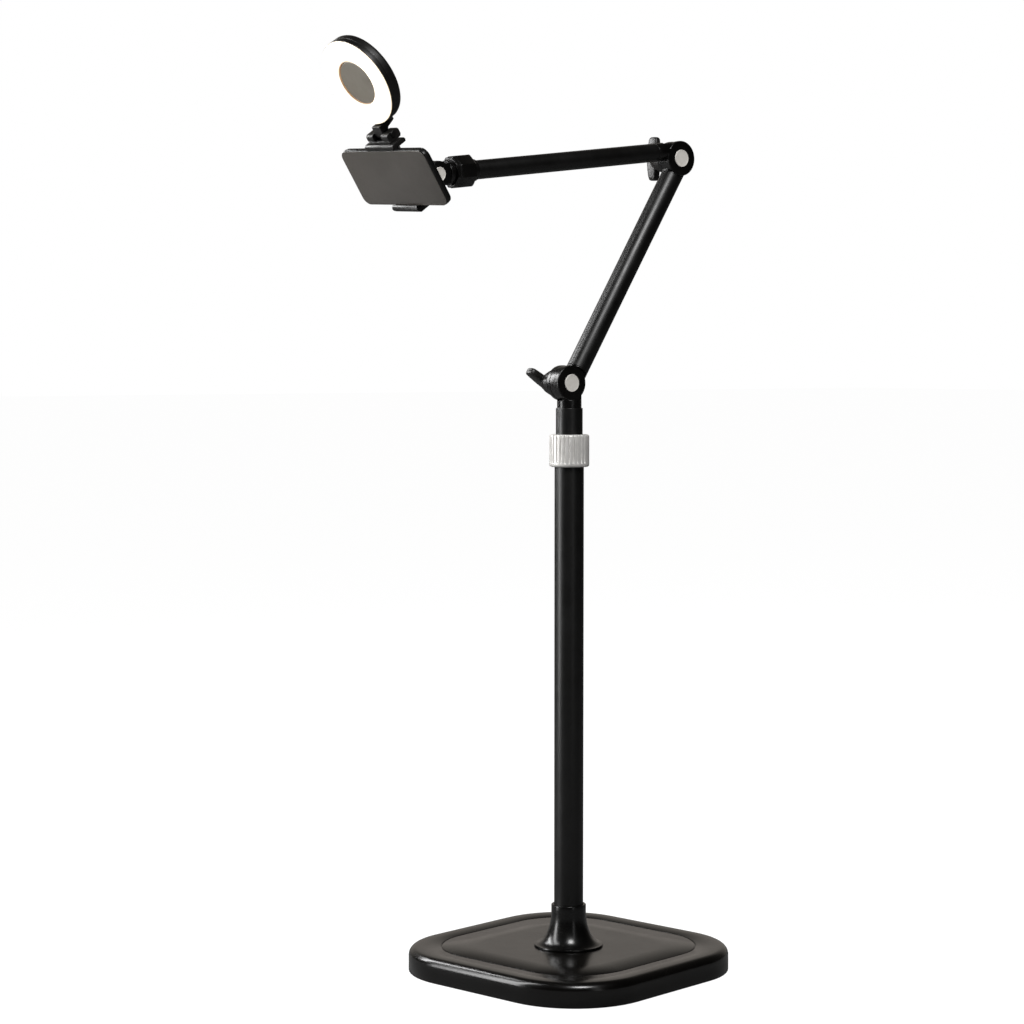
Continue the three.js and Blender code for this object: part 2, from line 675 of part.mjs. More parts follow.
// A pocket in the phone's edge and the key in it. The key is drawn on the upper edge.
function keyShape({ at, long }, low, high, clearance) {
  const middle = PHONE.thick / 2;
  const half = KEY.wide / 2 + clearance;
  const halfLong = long / 2 + clearance;
  return box([middle - half, middle + half], [at - halfLong, at + halfLong], [low, high]);
}

function phoneFrame() {
  const { long, short, thick, corner } = PHONE;
  const edge = short / 2;
  const pocket = (key) => keyShape(key, edge - KEY.inside - KEY.travelRoom, edge + PAST, 0.25);
  const wall = 3;
  const skin = panel(long, short, corner, 1.1, thick - 1.1);
  const inside = panel(long - 2 * wall, short - 2 * wall, corner - wall, 0, thick);
  return cut(skin, inside, pocket(VOLUME_KEY), pocket(POWER_KEY).rotateX(Math.PI));
}

function phoneKey(key) {
  const edge = PHONE.short / 2;
  return keyShape(key, edge - KEY.inside, edge + KEY.proud, 0);
}

function buildPhone(phone) {
  const { long, short, thick, corner } = PHONE;
  const sheetLong = long - 0.6;
  const sheetShort = short - 0.6;
  place(phone, "phone_frame", phoneFrame(), blackPlastic());
  place(phone, "phone_screen", panel(sheetLong, sheetShort, corner, 0, 0.8), screenGlass());
  place(phone, "phone_back", panel(sheetLong, sheetShort, corner, thick - 0.8, thick), blackPlastic());
  place(phone, "phone_battery", panel(90, 50, 2, 1.1, 6.9, 2), castIron());
  const bump = panel(27, 27, 7, thick + GAP, thick + 1.7, 4).translate(0, -54, 18);
  place(phone, "camera_bump", bump, blackPlastic());
  const lensFace = thick + 1.7 + GAP;
  for (const [name, y, z] of [["camera_lens_wide", -60, 24], ["camera_lens_tele", -48, 12]]) {
    const lens = toX(ring(2.4, 5.2, lensFace, lensFace + 1, 20)).translate(0, y, z);
    place(phone, name, lens, lensGlass());
  }
  place(phone, "volume_key", phoneKey(VOLUME_KEY), blackPlastic());
  place(phone, "power_key", phoneKey(POWER_KEY).rotateX(Math.PI), blackPlastic());
}

// ---- ring light ----
// Drawn about its hinge pin. Its face looks along -X.
const STEM = { top: 11.2, waist: 5, shelf: 8.5, tabThick: 2.6, tabTop: 30 };
const BACK_PLATE = 2.2;
const BUTTON = { r: 3.9, drop: 14, proud: 1.2 };
const INLET = { wide: 9, tall: 3.2, from: 43, to: 52 };

// The stem rises from its barrel, spreads backwards under the housing and holds its back with a tab.
function lightStem() {
  const { r, width } = LIGHT_PIVOT;
  const { top, waist, shelf, tabThick, tabTop } = STEM;
  const tabFront = LIGHT.back + GAP;
  const back = tabFront + tabThick;
  const barrel = toY(rod(r, -width, width));
  const outline = [[-r, 0], [r, 0], [r + 2, waist], [back, shelf], [back, top], [-r, top]];
  const tab = box([tabFront, back], [-width, width], [top - PAST, tabTop]);
  const pinHole = toY(rod(2.3, -width - PAST, width + PAST, SMALL));
  return cut(join(barrel, sideProfile(outline, width), tab), pinHole);
}

// The cup holds the board in its ring-shaped trough and the mirror on its middle wall.
function lightHousing() {
  const { r, front, back, z } = LIGHT;
  const floor = back - BACK_PLATE;
  const cup = toX(
    turned(
      [
        [0, back],
        [r - 3.6, back],
        [r - 1, back - 1],
        [r, back - 3.4],
        [r, front],
        [r - 1.6, front],
        [r - 1.6, floor],
        [LIGHT_INNER_R, floor],
        [LIGHT_INNER_R, 0.6],
        [LIGHT_INNER_R - 2.4, 0.6],
        [LIGHT_INNER_R - 2.4, floor],
        [0, floor],
      ],
      FINE,
    ),
  );
  const buttonHole = toX(rod(BUTTON.r + GAP, 0, back + PAST, SMALL)).translate(0, 0, -BUTTON.drop);
  const slot = inletBlock(GAP, INLET.from, INLET.to + 4);
  return cut(cup, buttonHole, slot).translate(0, 0, z);
}

function inletBlock(clearance, y0, y1) {
  const middle = (LIGHT.front + LIGHT.back) / 2 - 1;
  const halfTall = INLET.tall / 2 + clearance;
  const halfWide = INLET.wide / 2 + clearance;
  return box([middle - halfTall, middle + halfTall], [y0, y1], [-halfWide, halfWide]);
}

function buildLight(phone) {
  const light = frameAt(phone, "light_frame", [LIGHT_PIVOT.x, 0, LIGHT_PIVOT.z], LIGHT.lean);
  const { r, front, z } = LIGHT;
  const floor = LIGHT.back - BACK_PLATE;
  const disc = (inner, outer, x0, x1) =>
    toX(inner ? ring(inner, outer, x0, x1, FINE) : rod(outer, x0, x1, FINE)).translate(0, 0, z);
  place(light, "light_stem", lightStem(), blackPlastic());
  place(light, "light_housing", lightHousing(), blackPlastic());
  place(light, "light_diffuser", disc(LIGHT_INNER_R + 0.4, r - 2, front - 0.6, 0.4), glowing());
  place(light, "light_mirror", disc(0, LIGHT_INNER_R, front, GAP), mirrorFace());
  place(light, "led_board", disc(LIGHT_INNER_R + 0.4, r - 2, floor - 2, floor - GAP), circuitBoard());
  const flange = BUTTON.r + 1.4;
  const tip = LIGHT.back + BUTTON.proud;
  const button = toX(
    turned(
      [[0, 3], [flange, 3], [flange, 4.6], [BUTTON.r, 4.6], [BUTTON.r, tip - 0.4], [3.4, tip], [0, tip]],
      SMALL,
    ),
  ).translate(0, 0, z - BUTTON.drop);
  place(light, "light_button", button, blackPlastic());
  const inlet = cut(
    inletBlock(0, INLET.from, INLET.to),
    inletBlock(-0.5, INLET.from + 2, INLET.to + PAST),
  ).translate(0, 0, z);
  place(light, "charge_inlet", inlet, bareSteel());
}

// ---- assembly ----
const stand = new THREE.Group();
buildBase(stand);
buildCollar(stand);
buildMast(stand);
buildShoulder(stand);
buildLowerArm(stand);
const armBore = buildUpperArm(stand);
const phoneOrigin = buildHead(armBore);
buildClamp(phoneOrigin);
buildPhone(phoneOrigin);
buildLight(phoneOrigin);

export default stand;
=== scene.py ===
"""Looks of the phone floor stand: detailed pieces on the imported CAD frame, soft studio light and camera.

Pieces are drawn in millimetres in the local frame of the joint they belong to, and the frames come from
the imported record's joints. In the frame of a hinge, the hinge's axis is +Y.
"""

import json
import math

import bmesh
import bpy
from mathutils import Matrix, Vector


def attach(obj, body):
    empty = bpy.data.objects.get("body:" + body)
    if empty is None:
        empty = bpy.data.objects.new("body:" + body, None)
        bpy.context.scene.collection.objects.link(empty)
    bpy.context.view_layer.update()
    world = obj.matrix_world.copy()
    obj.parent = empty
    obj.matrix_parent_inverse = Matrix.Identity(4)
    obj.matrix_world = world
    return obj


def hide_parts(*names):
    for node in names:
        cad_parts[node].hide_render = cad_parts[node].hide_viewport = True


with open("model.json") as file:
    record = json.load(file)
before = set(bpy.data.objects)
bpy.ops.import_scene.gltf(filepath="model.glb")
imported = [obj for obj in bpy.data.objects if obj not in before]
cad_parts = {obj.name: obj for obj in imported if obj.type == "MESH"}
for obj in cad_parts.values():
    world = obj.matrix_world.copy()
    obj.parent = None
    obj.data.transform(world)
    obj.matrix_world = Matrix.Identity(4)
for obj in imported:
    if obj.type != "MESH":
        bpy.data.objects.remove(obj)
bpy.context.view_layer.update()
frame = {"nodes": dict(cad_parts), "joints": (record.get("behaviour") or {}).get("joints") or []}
joints = {j["name"]: j for j in frame["joints"]}
MM = 0.001
SIDES = 96
ARC, PANEL_ARC = 5, 12  # steps on a corner, of an outline and of a panel
TINY = 1e-6
STRAIGHT = 1e-3  # in radians, how near to straight a corner is left alone
WELD = 1e-4  # in millimetres


# ---------------------------------------------------------------- frames
def frame_of(origin, x, y, z):
    """Matrix from a local frame in millimetres to the row frame in metres."""
    m = Matrix.Identity(4)
    for column, axis in enumerate((x, y, z)):
        for row in range(3):
            m[row][column] = axis[row] * MM
    for row in range(3):
        m[row][3] = origin[row]
    return m


def axis_of(name):
    return Vector(joints[name]["axis"]).normalized()


def place_of(name):
    return Vector(joints[name]["pos_m"])


EAST, NORTH, UP = Vector((1, 0, 0)), Vector((0, 1, 0)), Vector((0, 0, 1))
ROOT = frame_of(Vector((0, 0, 0)), EAST, NORTH, UP)
BASE_TURN = 10.3
BASE = ROOT @ Matrix.Rotation(math.radians(BASE_TURN), 4, "Z")
shoulder = place_of("shoulder_hinge")
elbow = place_of("elbow_hinge")
bore = place_of("head_roll")
head = place_of("head_tilt")
arm_up = (elbow - shoulder).normalized()
arm_out = axis_of("head_roll")
tilt = axis_of("head_tilt")
phone_up = axis_of("jaw_slide")
phone_along = axis_of("phone_slide")
phone_back = phone_along.cross(phone_up)
head_back = tilt.cross(phone_up)
light_back = -axis_of("light_button_press")
light_along = axis_of("light_tilt")
SHOULDER = frame_of(shoulder, EAST, NORTH, UP)
ELBOW = frame_of(elbow, EAST, NORTH, UP)
LOWER = frame_of(shoulder, NORTH.cross(arm_up), NORTH, arm_up)
UPPER = frame_of(elbow, NORTH.cross(arm_out), NORTH, arm_out)
BORE = frame_of(bore, NORTH.cross(arm_out), NORTH, arm_out)
ROLL = frame_of(bore, tilt.cross(arm_out), tilt, arm_out)
HEAD = frame_of(head, head_back, tilt, phone_up)
HEAD_BACK, HEAD_DROP = 50.6, 26.4
TURN_X = 27.8  # the clamp is slightly turned about this line behind the screen
turn_at = head + (head_back * (TURN_X - HEAD_BACK) + phone_up * HEAD_DROP) * MM
PHONE = frame_of(turn_at - phone_back * TURN_X * MM, phone_back, phone_along, phone_up)
LIGHT = frame_of(place_of("light_tilt"), light_back, light_along, light_back.cross(light_along))
LOWER_LENGTH = (elbow - shoulder).length / MM
HEAD_REACH = (head - bore).dot(arm_out) / MM
LOWER_OFFSET, UPPER_OFFSET = 5.6, 9.8  # from a hinge's middle to the line of its tube
SHOULDER_R, ELBOW_R = 20.8, 20.9


# ---------------------------------------------------------------- materials
class Nodes:
    """Small helper to write a node tree."""

    def __init__(self, tree):
        self.tree = tree

    def add(self, kind, **settings):
        node = self.tree.nodes.new(kind)
        for key, value in settings.items():
            setattr(node, key, value)
        return node

    def link(self, out, into):
        self.tree.links.new(out, into)

    def ramp(self, source, stops):
        node = self.add("ShaderNodeValToRGB")
        elements = node.color_ramp.elements
        while len(elements) < len(stops):
            elements.new(0.5)
        for element, (at, color) in zip(elements, stops):
            element.position = at
            element.color = (*color, 1)
        self.link(source, node.inputs["Fac"])
        return node.outputs["Color"]

    def span(self, source, low, high, from_low=0.3, from_high=0.7):
        node = self.add("ShaderNodeMapRange")
        self.link(source, node.inputs["Value"])
        node.inputs["From Min"].default_value = from_low
        node.inputs["From Max"].default_value = from_high
        node.inputs["To Min"].default_value = low
        node.inputs["To Max"].default_value = high
        return node.outputs["Result"]

    def noise(self, vector, scale, detail=3.0, rough=0.5):
        node = self.add("ShaderNodeTexNoise")
        node.inputs["Scale"].default_value = scale
        node.inputs["Detail"].default_value = detail
        node.inputs["Roughness"].default_value = rough
        self.link(vector, node.inputs["Vector"])
        return node.outputs["Fac"]

    def math(self, operation, a, b):
        node = self.add("ShaderNodeMath", operation=operation)
        for socket, value in zip(node.inputs, (a, b)):
            if isinstance(value, (int, float)):
                socket.default_value = value
            else:
                self.link(value, socket)
        return node.outputs["Value"]

    def mix(self, factor, a, b):
        node = self.add("ShaderNodeMix", data_type="RGBA")
        self.link(factor, node.inputs["Factor"])
        for socket, value in ((node.inputs[6], a), (node.inputs[7], b)):
            if isinstance(value, tuple):
                socket.default_value = (*value, 1)
            else:
                self.link(value, socket)
        return node.outputs[2]


GLOSS_NOISE = 0.03  # how far the grain moves the roughness
BEVEL_SAMPLES = 4
SCUFF_SCALE = 420
WORN_GAIN, WORN_LIFT, WORN_ROUGH = 2.2, 0.012, 0.12
COAT_ROUGH = 0.08


def surface(
    name,
    color,
    other,
    rough,
    metal=0.0,
    grain=1800,
    depth=0.02,
    mottle=38,
    edge=None,
    edge_color=None,
    coat=0.0,
    spec=0.5,
    brushed=0.0,
):
    """A finish of two close colours mottled together, with a fine grain in the bump.

    rough is (low, high), grain and mottle are scales per metre, and depth is the grain's height in
    millimetres. With edge, sharp edges are rounded to that radius in millimetres and look a little worn.
    """
    made = bpy.data.materials.new(name)
    made.use_nodes = True
    n = Nodes(made.node_tree)
    shader = made.node_tree.nodes["Principled BSDF"]
    where = n.add("ShaderNodeTexCoord").outputs["Object"]
    fine = n.noise(where, grain, 4.0, 0.6)
    broad = n.noise(where, mottle, 5.0, 0.62)
    tint = n.ramp(broad, [(0.32, color), (0.68, other)])
    low, high = rough
    gloss = n.math("ADD", n.span(broad, low, high), n.span(fine, -GLOSS_NOISE, GLOSS_NOISE))
    bump = n.add("ShaderNodeBump")
    bump.inputs["Strength"].default_value = 1.0
    bump.inputs["Distance"].default_value = depth * MM
    n.link(fine, bump.inputs["Height"])
    if edge:
        bevel = n.add("ShaderNodeBevel", samples=BEVEL_SAMPLES)
        bevel.inputs["Radius"].default_value = edge * MM
        n.link(bevel.outputs["Normal"], bump.inputs["Normal"])
        flat = n.add("ShaderNodeNewGeometry").outputs["Normal"]
        dot = n.add("ShaderNodeVectorMath", operation="DOT_PRODUCT")
        n.link(bevel.outputs["Normal"], dot.inputs[0])
        n.link(flat, dot.inputs[1])
        scuffs = n.noise(where, SCUFF_SCALE, 3.0, 0.7)
        turned_away = n.span(dot.outputs["Value"], 0.5, 0.0, 0.82, 0.985)
        worn = n.math("MULTIPLY", turned_away, n.span(scuffs, 0.0, 1.0, 0.4, 0.65))
        paler = tuple(min(1.0, c * WORN_GAIN + WORN_LIFT) for c in other)
        tint = n.mix(worn, tint, edge_color or paler)
        gloss = n.math("ADD", gloss, n.math("MULTIPLY", worn, WORN_ROUGH))
    n.link(tint, shader.inputs["Base Color"])
    n.link(gloss, shader.inputs["Roughness"])
    n.link(bump.outputs["Normal"], shader.inputs["Normal"])
    shader.inputs["Metallic"].default_value = metal
    shader.inputs["Coat Weight"].default_value = coat
    shader.inputs["Coat Roughness"].default_value = COAT_ROUGH
    shader.inputs["Specular IOR Level"].default_value = spec
    shader.inputs["Anisotropic"].default_value = brushed
    return made


BLACK = (0.0018, 0.0017, 0.0016)
coat_black = surface(
    "coat_black", BLACK, (0.0038, 0.0036, 0.0034), (0.34, 0.42), grain=2600, depth=0.0008, edge=0.4,
)
boss_black = surface(
    "boss_black", (0.0016, 0.0015, 0.0014), (0.0034, 0.0032, 0.003), (0.24, 0.31), grain=2200, depth=0.0015,
    edge=0.7,
)
knob_black = surface(
    "knob_black", (0.006, 0.0056, 0.0052), (0.012, 0.011, 0.010), (0.32, 0.42), grain=1500, depth=0.004,
    edge=0.7,
)
base_black = surface(
    "base_black", (0.0018, 0.0016, 0.0014), (0.0036, 0.0032, 0.0028), (0.2, 0.26), grain=1600, depth=0.003,
    mottle=22, edge=0.3,
)
bell_black = surface(
    "bell_black", (0.0018, 0.0017, 0.0016), (0.0038, 0.0036, 0.0034), (0.2, 0.27), grain=1900, depth=0.002,
    edge=0.4,
)
collar_silver = surface(
    "collar_silver", (0.72, 0.705, 0.68), (0.82, 0.805, 0.78), (0.34, 0.42), metal=0.25, grain=1400,
    depth=0.012,
    mottle=90, edge=0.5, edge_color=(0.93, 0.92, 0.90), brushed=0.2,
)
cap_silver = surface(
    "cap_silver", (0.88, 0.845, 0.785), (0.97, 0.94, 0.885), (0.36, 0.46), metal=0.15, grain=1500,
    depth=0.008,
    mottle=240, edge=0.3, edge_color=(0.86, 0.84, 0.81),
)
steel = surface(
    "steel", (0.42, 0.42, 0.42), (0.56, 0.56, 0.55), (0.22, 0.34), metal=1.0, grain=1300, depth=0.02,
    mottle=160,
    edge=0.25, edge_color=(0.7, 0.7, 0.69),
)
iron = surface(
    "iron", (0.035, 0.034, 0.033), (0.06, 0.057, 0.054), (0.55, 0.7), grain=900, depth=0.08, mottle=60,
)
rubber = surface(
    "rubber", (0.012, 0.012, 0.012), (0.022, 0.022, 0.021), (0.72, 0.85), grain=1400, depth=0.05, mottle=70,
    spec=0.35,
)
nylon = surface(
    "nylon", (0.70, 0.68, 0.61), (0.80, 0.78, 0.72), (0.45, 0.55), grain=1200, depth=0.02, mottle=60,
)
phone_metal = surface(
    "phone_metal", (0.006, 0.006, 0.006), (0.012, 0.0115, 0.011), (0.24, 0.32), metal=0.2, grain=3000,
    depth=0.006, edge=0.3,
)
back_glass = surface(
    "back_glass", (0.008, 0.008, 0.009), (0.013, 0.013, 0.014), (0.1, 0.16), grain=700, depth=0.002,
    coat=0.6,
)
lens_glass = surface(
    "lens_glass", (0.003, 0.004, 0.010), (0.008, 0.008, 0.02), (0.05, 0.09), grain=500, depth=0.001,
    coat=1.0,
)
foil = surface("foil", (0.30, 0.30, 0.31), (0.4, 0.4, 0.41), (0.3, 0.42), metal=0.8, grain=500, depth=0.1)
lamp_black = surface(
    "lamp_black", (0.004, 0.0038, 0.0036), (0.007, 0.0066, 0.0062), (0.3, 0.38), grain=2400, depth=0.002,
    edge=0.5,
)
board_white = surface(
    "board_white", (0.78, 0.77, 0.72), (0.86, 0.85, 0.81), (0.4, 0.5), grain=700, depth=0.01,
)
mirror_glass = surface(
    "mirror_glass", (0.30, 0.275, 0.23), (0.34, 0.31, 0.265), (0.3, 0.38), metal=0.35, grain=900,
    depth=0.006, mottle=60,
)


def screen_finish():
    """Dark display behind glass, with a broad soft painted sheen and faint smears in its gloss: a faint
    emission in blotches stands in for light reflected in the glass.
    """
    made = surface(
        "screen_glass", (0.072, 0.0655, 0.058), (0.088, 0.080, 0.072), (0.16, 0.24), grain=260, depth=0.001,
        mottle=16, coat=0.25,
    )
    n = Nodes(made.node_tree)
    shader = made.node_tree.nodes["Principled BSDF"]
    where = n.add("ShaderNodeTexCoord").outputs["Object"]
    # painted sheen: the display is no lamp, but this noise drives a faint emission that lightens it in
    # broad blotches, standing in for reflected light
    painted_sheen_noise = n.noise(where, 9, 2.0, 0.4)
    glow = n.ramp(painted_sheen_noise, [(0.35, (0.0, 0.0, 0.0)), (0.75, (0.03, 0.027, 0.024))])
    n.link(glow, shader.inputs["Emission Color"])
    shader.inputs["Emission Strength"].default_value = 0.5
    return made


def diffuser_finish():
    """Milky plate lit from inside, warmer and dimmer in a thin band along both of its edges."""
    made = bpy.data.materials.new("diffuser_lit")
    made.use_nodes = True
    n = Nodes(made.node_tree)
    shader = made.node_tree.nodes["Principled BSDF"]
    band = n.add("ShaderNodeAttribute", attribute_name="edge_band").outputs["Fac"]
    where = n.add("ShaderNodeTexCoord").outputs["Object"]
    speckle = n.noise(where, 1400, 2.0, 0.5)
    warm = n.ramp(band, [(0.0, (1.0, 0.975, 0.86)), (0.55, (1.0, 0.86, 0.56)), (1.0, (0.62, 0.27, 0.07))])
    n.link(warm, shader.inputs["Emission Color"])
    n.link(n.span(band, 1.12, 0.5, 0.15, 0.9), shader.inputs["Emission Strength"])
    n.link(
        n.ramp(speckle, [(0.3, (0.86, 0.83, 0.76)), (0.7, (0.92, 0.9, 0.84))]), shader.inputs["Base Color"]
    )
    n.link(n.span(speckle, 0.42, 0.5), shader.inputs["Roughness"])
    return made


screen_glass = screen_finish()
diffuser_lit = diffuser_finish()


# ---------------------------------------------------------------- shapes
def fillet(points, closed=True, radius=0.0):
    """An outline with its corners rounded. A point is (a, b) or (a, b, its own radius)."""
    out = []
    count = len(points)
    for i, point in enumerate(points):
        r = point[2] if len(point) > 2 else radius
        here = Vector(point[:2])
        if r <= 0 or (not closed and i in (0, count - 1)):
            out.append(here)
            continue
        before = Vector(points[i - 1][:2]) - here
        after = Vector(points[(i + 1) % count][:2]) - here
        half = before.angle(after, 0.0) / 2
        if half < STRAIGHT or abs(half - math.pi / 2) < STRAIGHT:
            out.append(here)
            continue
        reach = min(r / math.tan(half), 0.48 * before.length, 0.48 * after.length)
        start, end = here + before.normalized() * reach, here + after.normalized() * reach
        for k in range(ARC + 1):
            s = k / ARC
            out.append(start * (1 - s) ** 2 + here * (2 * s * (1 - s)) + end * s**2)
    return out


def turned(profile, radius=0.4, sides=SIDES):
    """A mesh of [radius, height] points turned about +Z, with its corners rounded."""
    closed = profile[0][0] > TINY
    points = fillet(profile, closed, radius)
    bm = bmesh.new()
    rings = []
    for r, z in points:
        if r < TINY:
            rings.append([bm.verts.new((0, 0, z))])
            continue
        turn = [2 * math.pi * k / sides for k in range(sides)]
        rings.append([bm.verts.new((r * math.cos(a), r * math.sin(a), z)) for a in turn])
    pairs = list(zip(rings, rings[1:] + rings[:1])) if closed else list(zip(rings, rings[1:]))
    for low, high in pairs:
        for k in range(sides):
            m = (k + 1) % sides
            if len(low) == 1:
                bm.faces.new([low[0], high[m], high[k]])
            elif len(high) == 1:
                bm.faces.new([low[k], low[m], high[0]])
            else:
                bm.faces.new([low[k], low[m], high[m], high[k]])
    bmesh.ops.recalc_face_normals(bm, faces=bm.faces)
    return bm


def skin(bm, low, high):
    """Quads between two rings of as many points."""
    for k in range(len(low)):
        m = (k + 1) % len(low)
        bm.faces.new([low[k], low[m], high[m], high[k]])


def rod(r, z0, z1, radius=0.0, sides=SIDES):
    return turned([(0, z0), (r, z0), (r, z1), (0, z1)], radius, sides)


def ring(inner, outer, z0, z1, radius=0.3, sides=SIDES):
    return turned([(inner, z0), (outer, z0), (outer, z1), (inner, z1)], radius, sides)


def to_y(bm):
    bm.transform(Matrix.Rotation(-math.pi / 2, 4, "X"))
    return bm


def to_x(bm):
    bm.transform(Matrix.Rotation(math.pi / 2, 4, "Y"))
    return bm


def moved(bm, x=0, y=0, z=0):
    bm.transform(Matrix.Translation((x, y, z)))
    return bm


def prism(outline, y0, y1, radius=0.5, steps=3):
    """An outline of [x, z] points from y0 to y1, with both of its rims rounded."""
    bm = bmesh.new()
    low = [bm.verts.new((p[0], y0, p[1])) for p in outline]
    face = bm.faces.new(low)
    grown = bmesh.ops.extrude_face_region(bm, geom=[face])
    new = [g for g in grown["geom"] if isinstance(g, bmesh.types.BMVert)]
    bmesh.ops.translate(bm, verts=new, vec=(0, y1 - y0, 0))
    bmesh.ops.recalc_face_normals(bm, faces=bm.faces)
    if radius > 0:
        rims = [e for e in bm.edges if abs(e.verts[0].co.y - e.verts[1].co.y) < TINY]
        how = {"segments": steps, "profile": 0.5, "affect": "EDGES", "clamp_overlap": True}
        bmesh.ops.bevel(bm, geom=rims, offset=radius, **how)
    return bm


def panel(width, height, corner, x0, x1, radius=0.3, steps=3):
    """A rounded rectangle in the YZ plane, from x0 to x1."""
    w, h = width / 2 - corner, height / 2 - corner
    outline = []
    for cy, cz, start in ((w, -h, -90), (w, h, 0), (-w, h, 90), (-w, -h, 180)):
        for k in range(PANEL_ARC + 1):
            a = math.radians(start + 90 * k / PANEL_ARC)
            outline.append((cy + corner * math.cos(a), cz + corner * math.sin(a)))
    bm = prism(outline, 0, x1 - x0, radius, steps)
    bm.transform(Matrix(((0, 1, 0, x0), (-1, 0, 0, 0), (0, 0, 1, 0), (0, 0, 0, 1))))
    bmesh.ops.recalc_face_normals(bm, faces=bm.faces)
    return bm


def block(x, y, z, radius=0.0, corner=0.0):
    outline = [(x[0], z[0]), (x[1], z[0]), (x[1], z[1]), (x[0], z[1])]
    return prism(fillet(outline, True, corner), y[0], y[1], radius)


def rounded_block(x, y, z, corner, radius):
    return block(x, y, z, radius, corner)


def loose(bm):
    mesh = bpy.data.meshes.new("work")
    bm.to_mesh(mesh)
    bm.free()
    made = bpy.data.objects.new("work", mesh)
    bpy.context.scene.collection.objects.link(made)
    return made


def combine(first, *steps):
    """Adds ('+', mesh), cuts ('-', mesh) or keeps the common part ('*', mesh), one after the other."""
    body = loose(first)
    for sign, tool in steps:
        other = loose(tool)
        step = body.modifiers.new("step", "BOOLEAN")
        step.operation = {"+": "UNION", "-": "DIFFERENCE", "*": "INTERSECT"}[sign]
        step.solver = "MANIFOLD"
        step.object = other
        ready = body.evaluated_get(bpy.context.evaluated_depsgraph_get())
        done = bpy.data.meshes.new_from_object(ready)
        body.modifiers.clear()
        body.data = done
        bpy.data.objects.remove(other)
    bm = bmesh.new()
    bm.from_mesh(body.data)
    bpy.data.objects.remove(body)
    bmesh.ops.remove_doubles(bm, verts=bm.verts, dist=WELD)
    return bm


def piece(name, bm, matrix, body, finish, slot, *nodes, crease=32):
    """Makes the mesh an object of the part, riding on its CAD body in place of the CAD nodes.

    Edges sharper than crease, in degrees, stay sharp.
    """
    bm.transform(matrix)
    bmesh.ops.recalc_face_normals(bm, faces=bm.faces)
    mesh = bpy.data.meshes.new(name)
    bm.to_mesh(mesh)
    bm.free()
    mesh.shade_smooth()
    mesh.set_sharp_from_angle(angle=math.radians(crease))
    mesh.materials.append(finish)
    made = bpy.data.objects.new(name, mesh)
    bpy.context.scene.collection.objects.link(made)
    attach(made, body)
    if nodes:
        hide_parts(*nodes)
    return made


# ---------------------------------------------------------------- base
TUBE_END = 0.35  # rounding of a tube's ends
POLE_BORE, POLE_R, POLE_FOOT, POLE_TOP = 16.3, 17.3, 29.4, 619
MAST_BORE, MAST_R, MAST_FOOT, MAST_TOP = 14.8, 15.8, 108, 668


def rounded_square(half, corner, z, count=14):
    """Points round a square with rounded corners, count steps to a corner."""
    points = []
    inner = half - corner
    for quarter in range(4):
        start = quarter * math.pi / 2
        cx = inner * (1 if quarter in (0, 3) else -1)
        cy = inner * (1 if quarter in (0, 1) else -1)
        for k in range(count + 1):
            a = start + math.pi / 2 * k / count
            points.append((cx + corner * math.cos(a), cy + corner * math.sin(a), z))
    return points


def base_shell():
    """The cover from its inner rim over the rounded edge and the groove to the middle, and back inside."""
    half, corner, top, edge, wall, steps, groove = 163.0, 97.0, 29.0, 9.5, 3.0, 8, 130.0
    rings = [(half - wall, corner - wall, 0.8), (half - 0.5, corner - 0.5, 0.8), (half, corner, 1.4)]
    for k in range(steps + 1):
        a = math.pi / 2 * k / steps
        inset = edge * (1 - math.cos(a))
        rings.append((half - inset, corner - inset, top - edge * (1 - math.sin(a))))
    rings += [
        (groove + 0.35, 77.3, top), (groove, 77.0, top - 0.25), (groove, 77.0, top - 1.1),
        (groove - 1.5, 75.5, top - 1.1), (groove - 1.5, 75.5, top - 0.25), (groove - 1.85, 75.1, top),
        (90, 52, top), (46, 30, top),
    ]
    inner_half, inner_corner, ceiling = half - wall, corner - wall, top - wall
    under = [(46, 30, ceiling), (inner_half - 2, inner_corner - 2, ceiling)]
    under.append((inner_half, inner_corner, ceiling - 2))
    bm = bmesh.new()
    loops = [[bm.verts.new(p) for p in rounded_square(*r)] for r in rings]
    hidden = [[bm.verts.new(p) for p in rounded_square(*r)] for r in under]
    chain = [hidden[2], *loops]
    for low, high in list(zip(chain, chain[1:])) + list(zip(hidden, hidden[1:])):
        skin(bm, low, high)
    bm.faces.new(loops[-1])
    bm.faces.new(hidden[0])
    return bm


piece("base_cover", base_shell(), BASE, "stand", base_black, "base_plastic", "base_shell", crease=40)


def bell():
    """A trumpet that starts straight under its chamfered top and runs out into a thin lip."""
    foot, neck, bottom, top, hole = 41.0, 20.6, 29.3, 79.0, 17.7
    lip, flare_top, steps = bottom + 2.0, 70.0, 31
    profile = [(hole, bottom), (foot - 0.7, bottom), (foot - 0.1, bottom + 0.5), (foot, bottom + 1.1)]
    profile.append((foot - 0.35, lip))
    for k in range(1, steps):
        a = math.pi / 2 * k / steps
        r = neck + (foot - 1.1 - neck) * (1 - math.sin(a))
        profile.append((r, flare_top - (flare_top - lip) * math.cos(a)))
    profile += [(neck, flare_top), (neck, top - 1.2), (neck - 0.2, top - 0.5), (neck - 0.9, top - 0.05)]
    profile += [(neck - 1.4, top), (hole, top)]
    return turned(profile, 0.0, 128)


piece("pole_bell", bell(), ROOT, "stand", bell_black, "boss_plastic", "bell_flange")
pole = ring(POLE_BORE, POLE_R, POLE_FOOT, POLE_TOP, TUBE_END)
piece("pole_tube", pole, ROOT, "stand", coat_black, "pole_coat", "outer_tube")


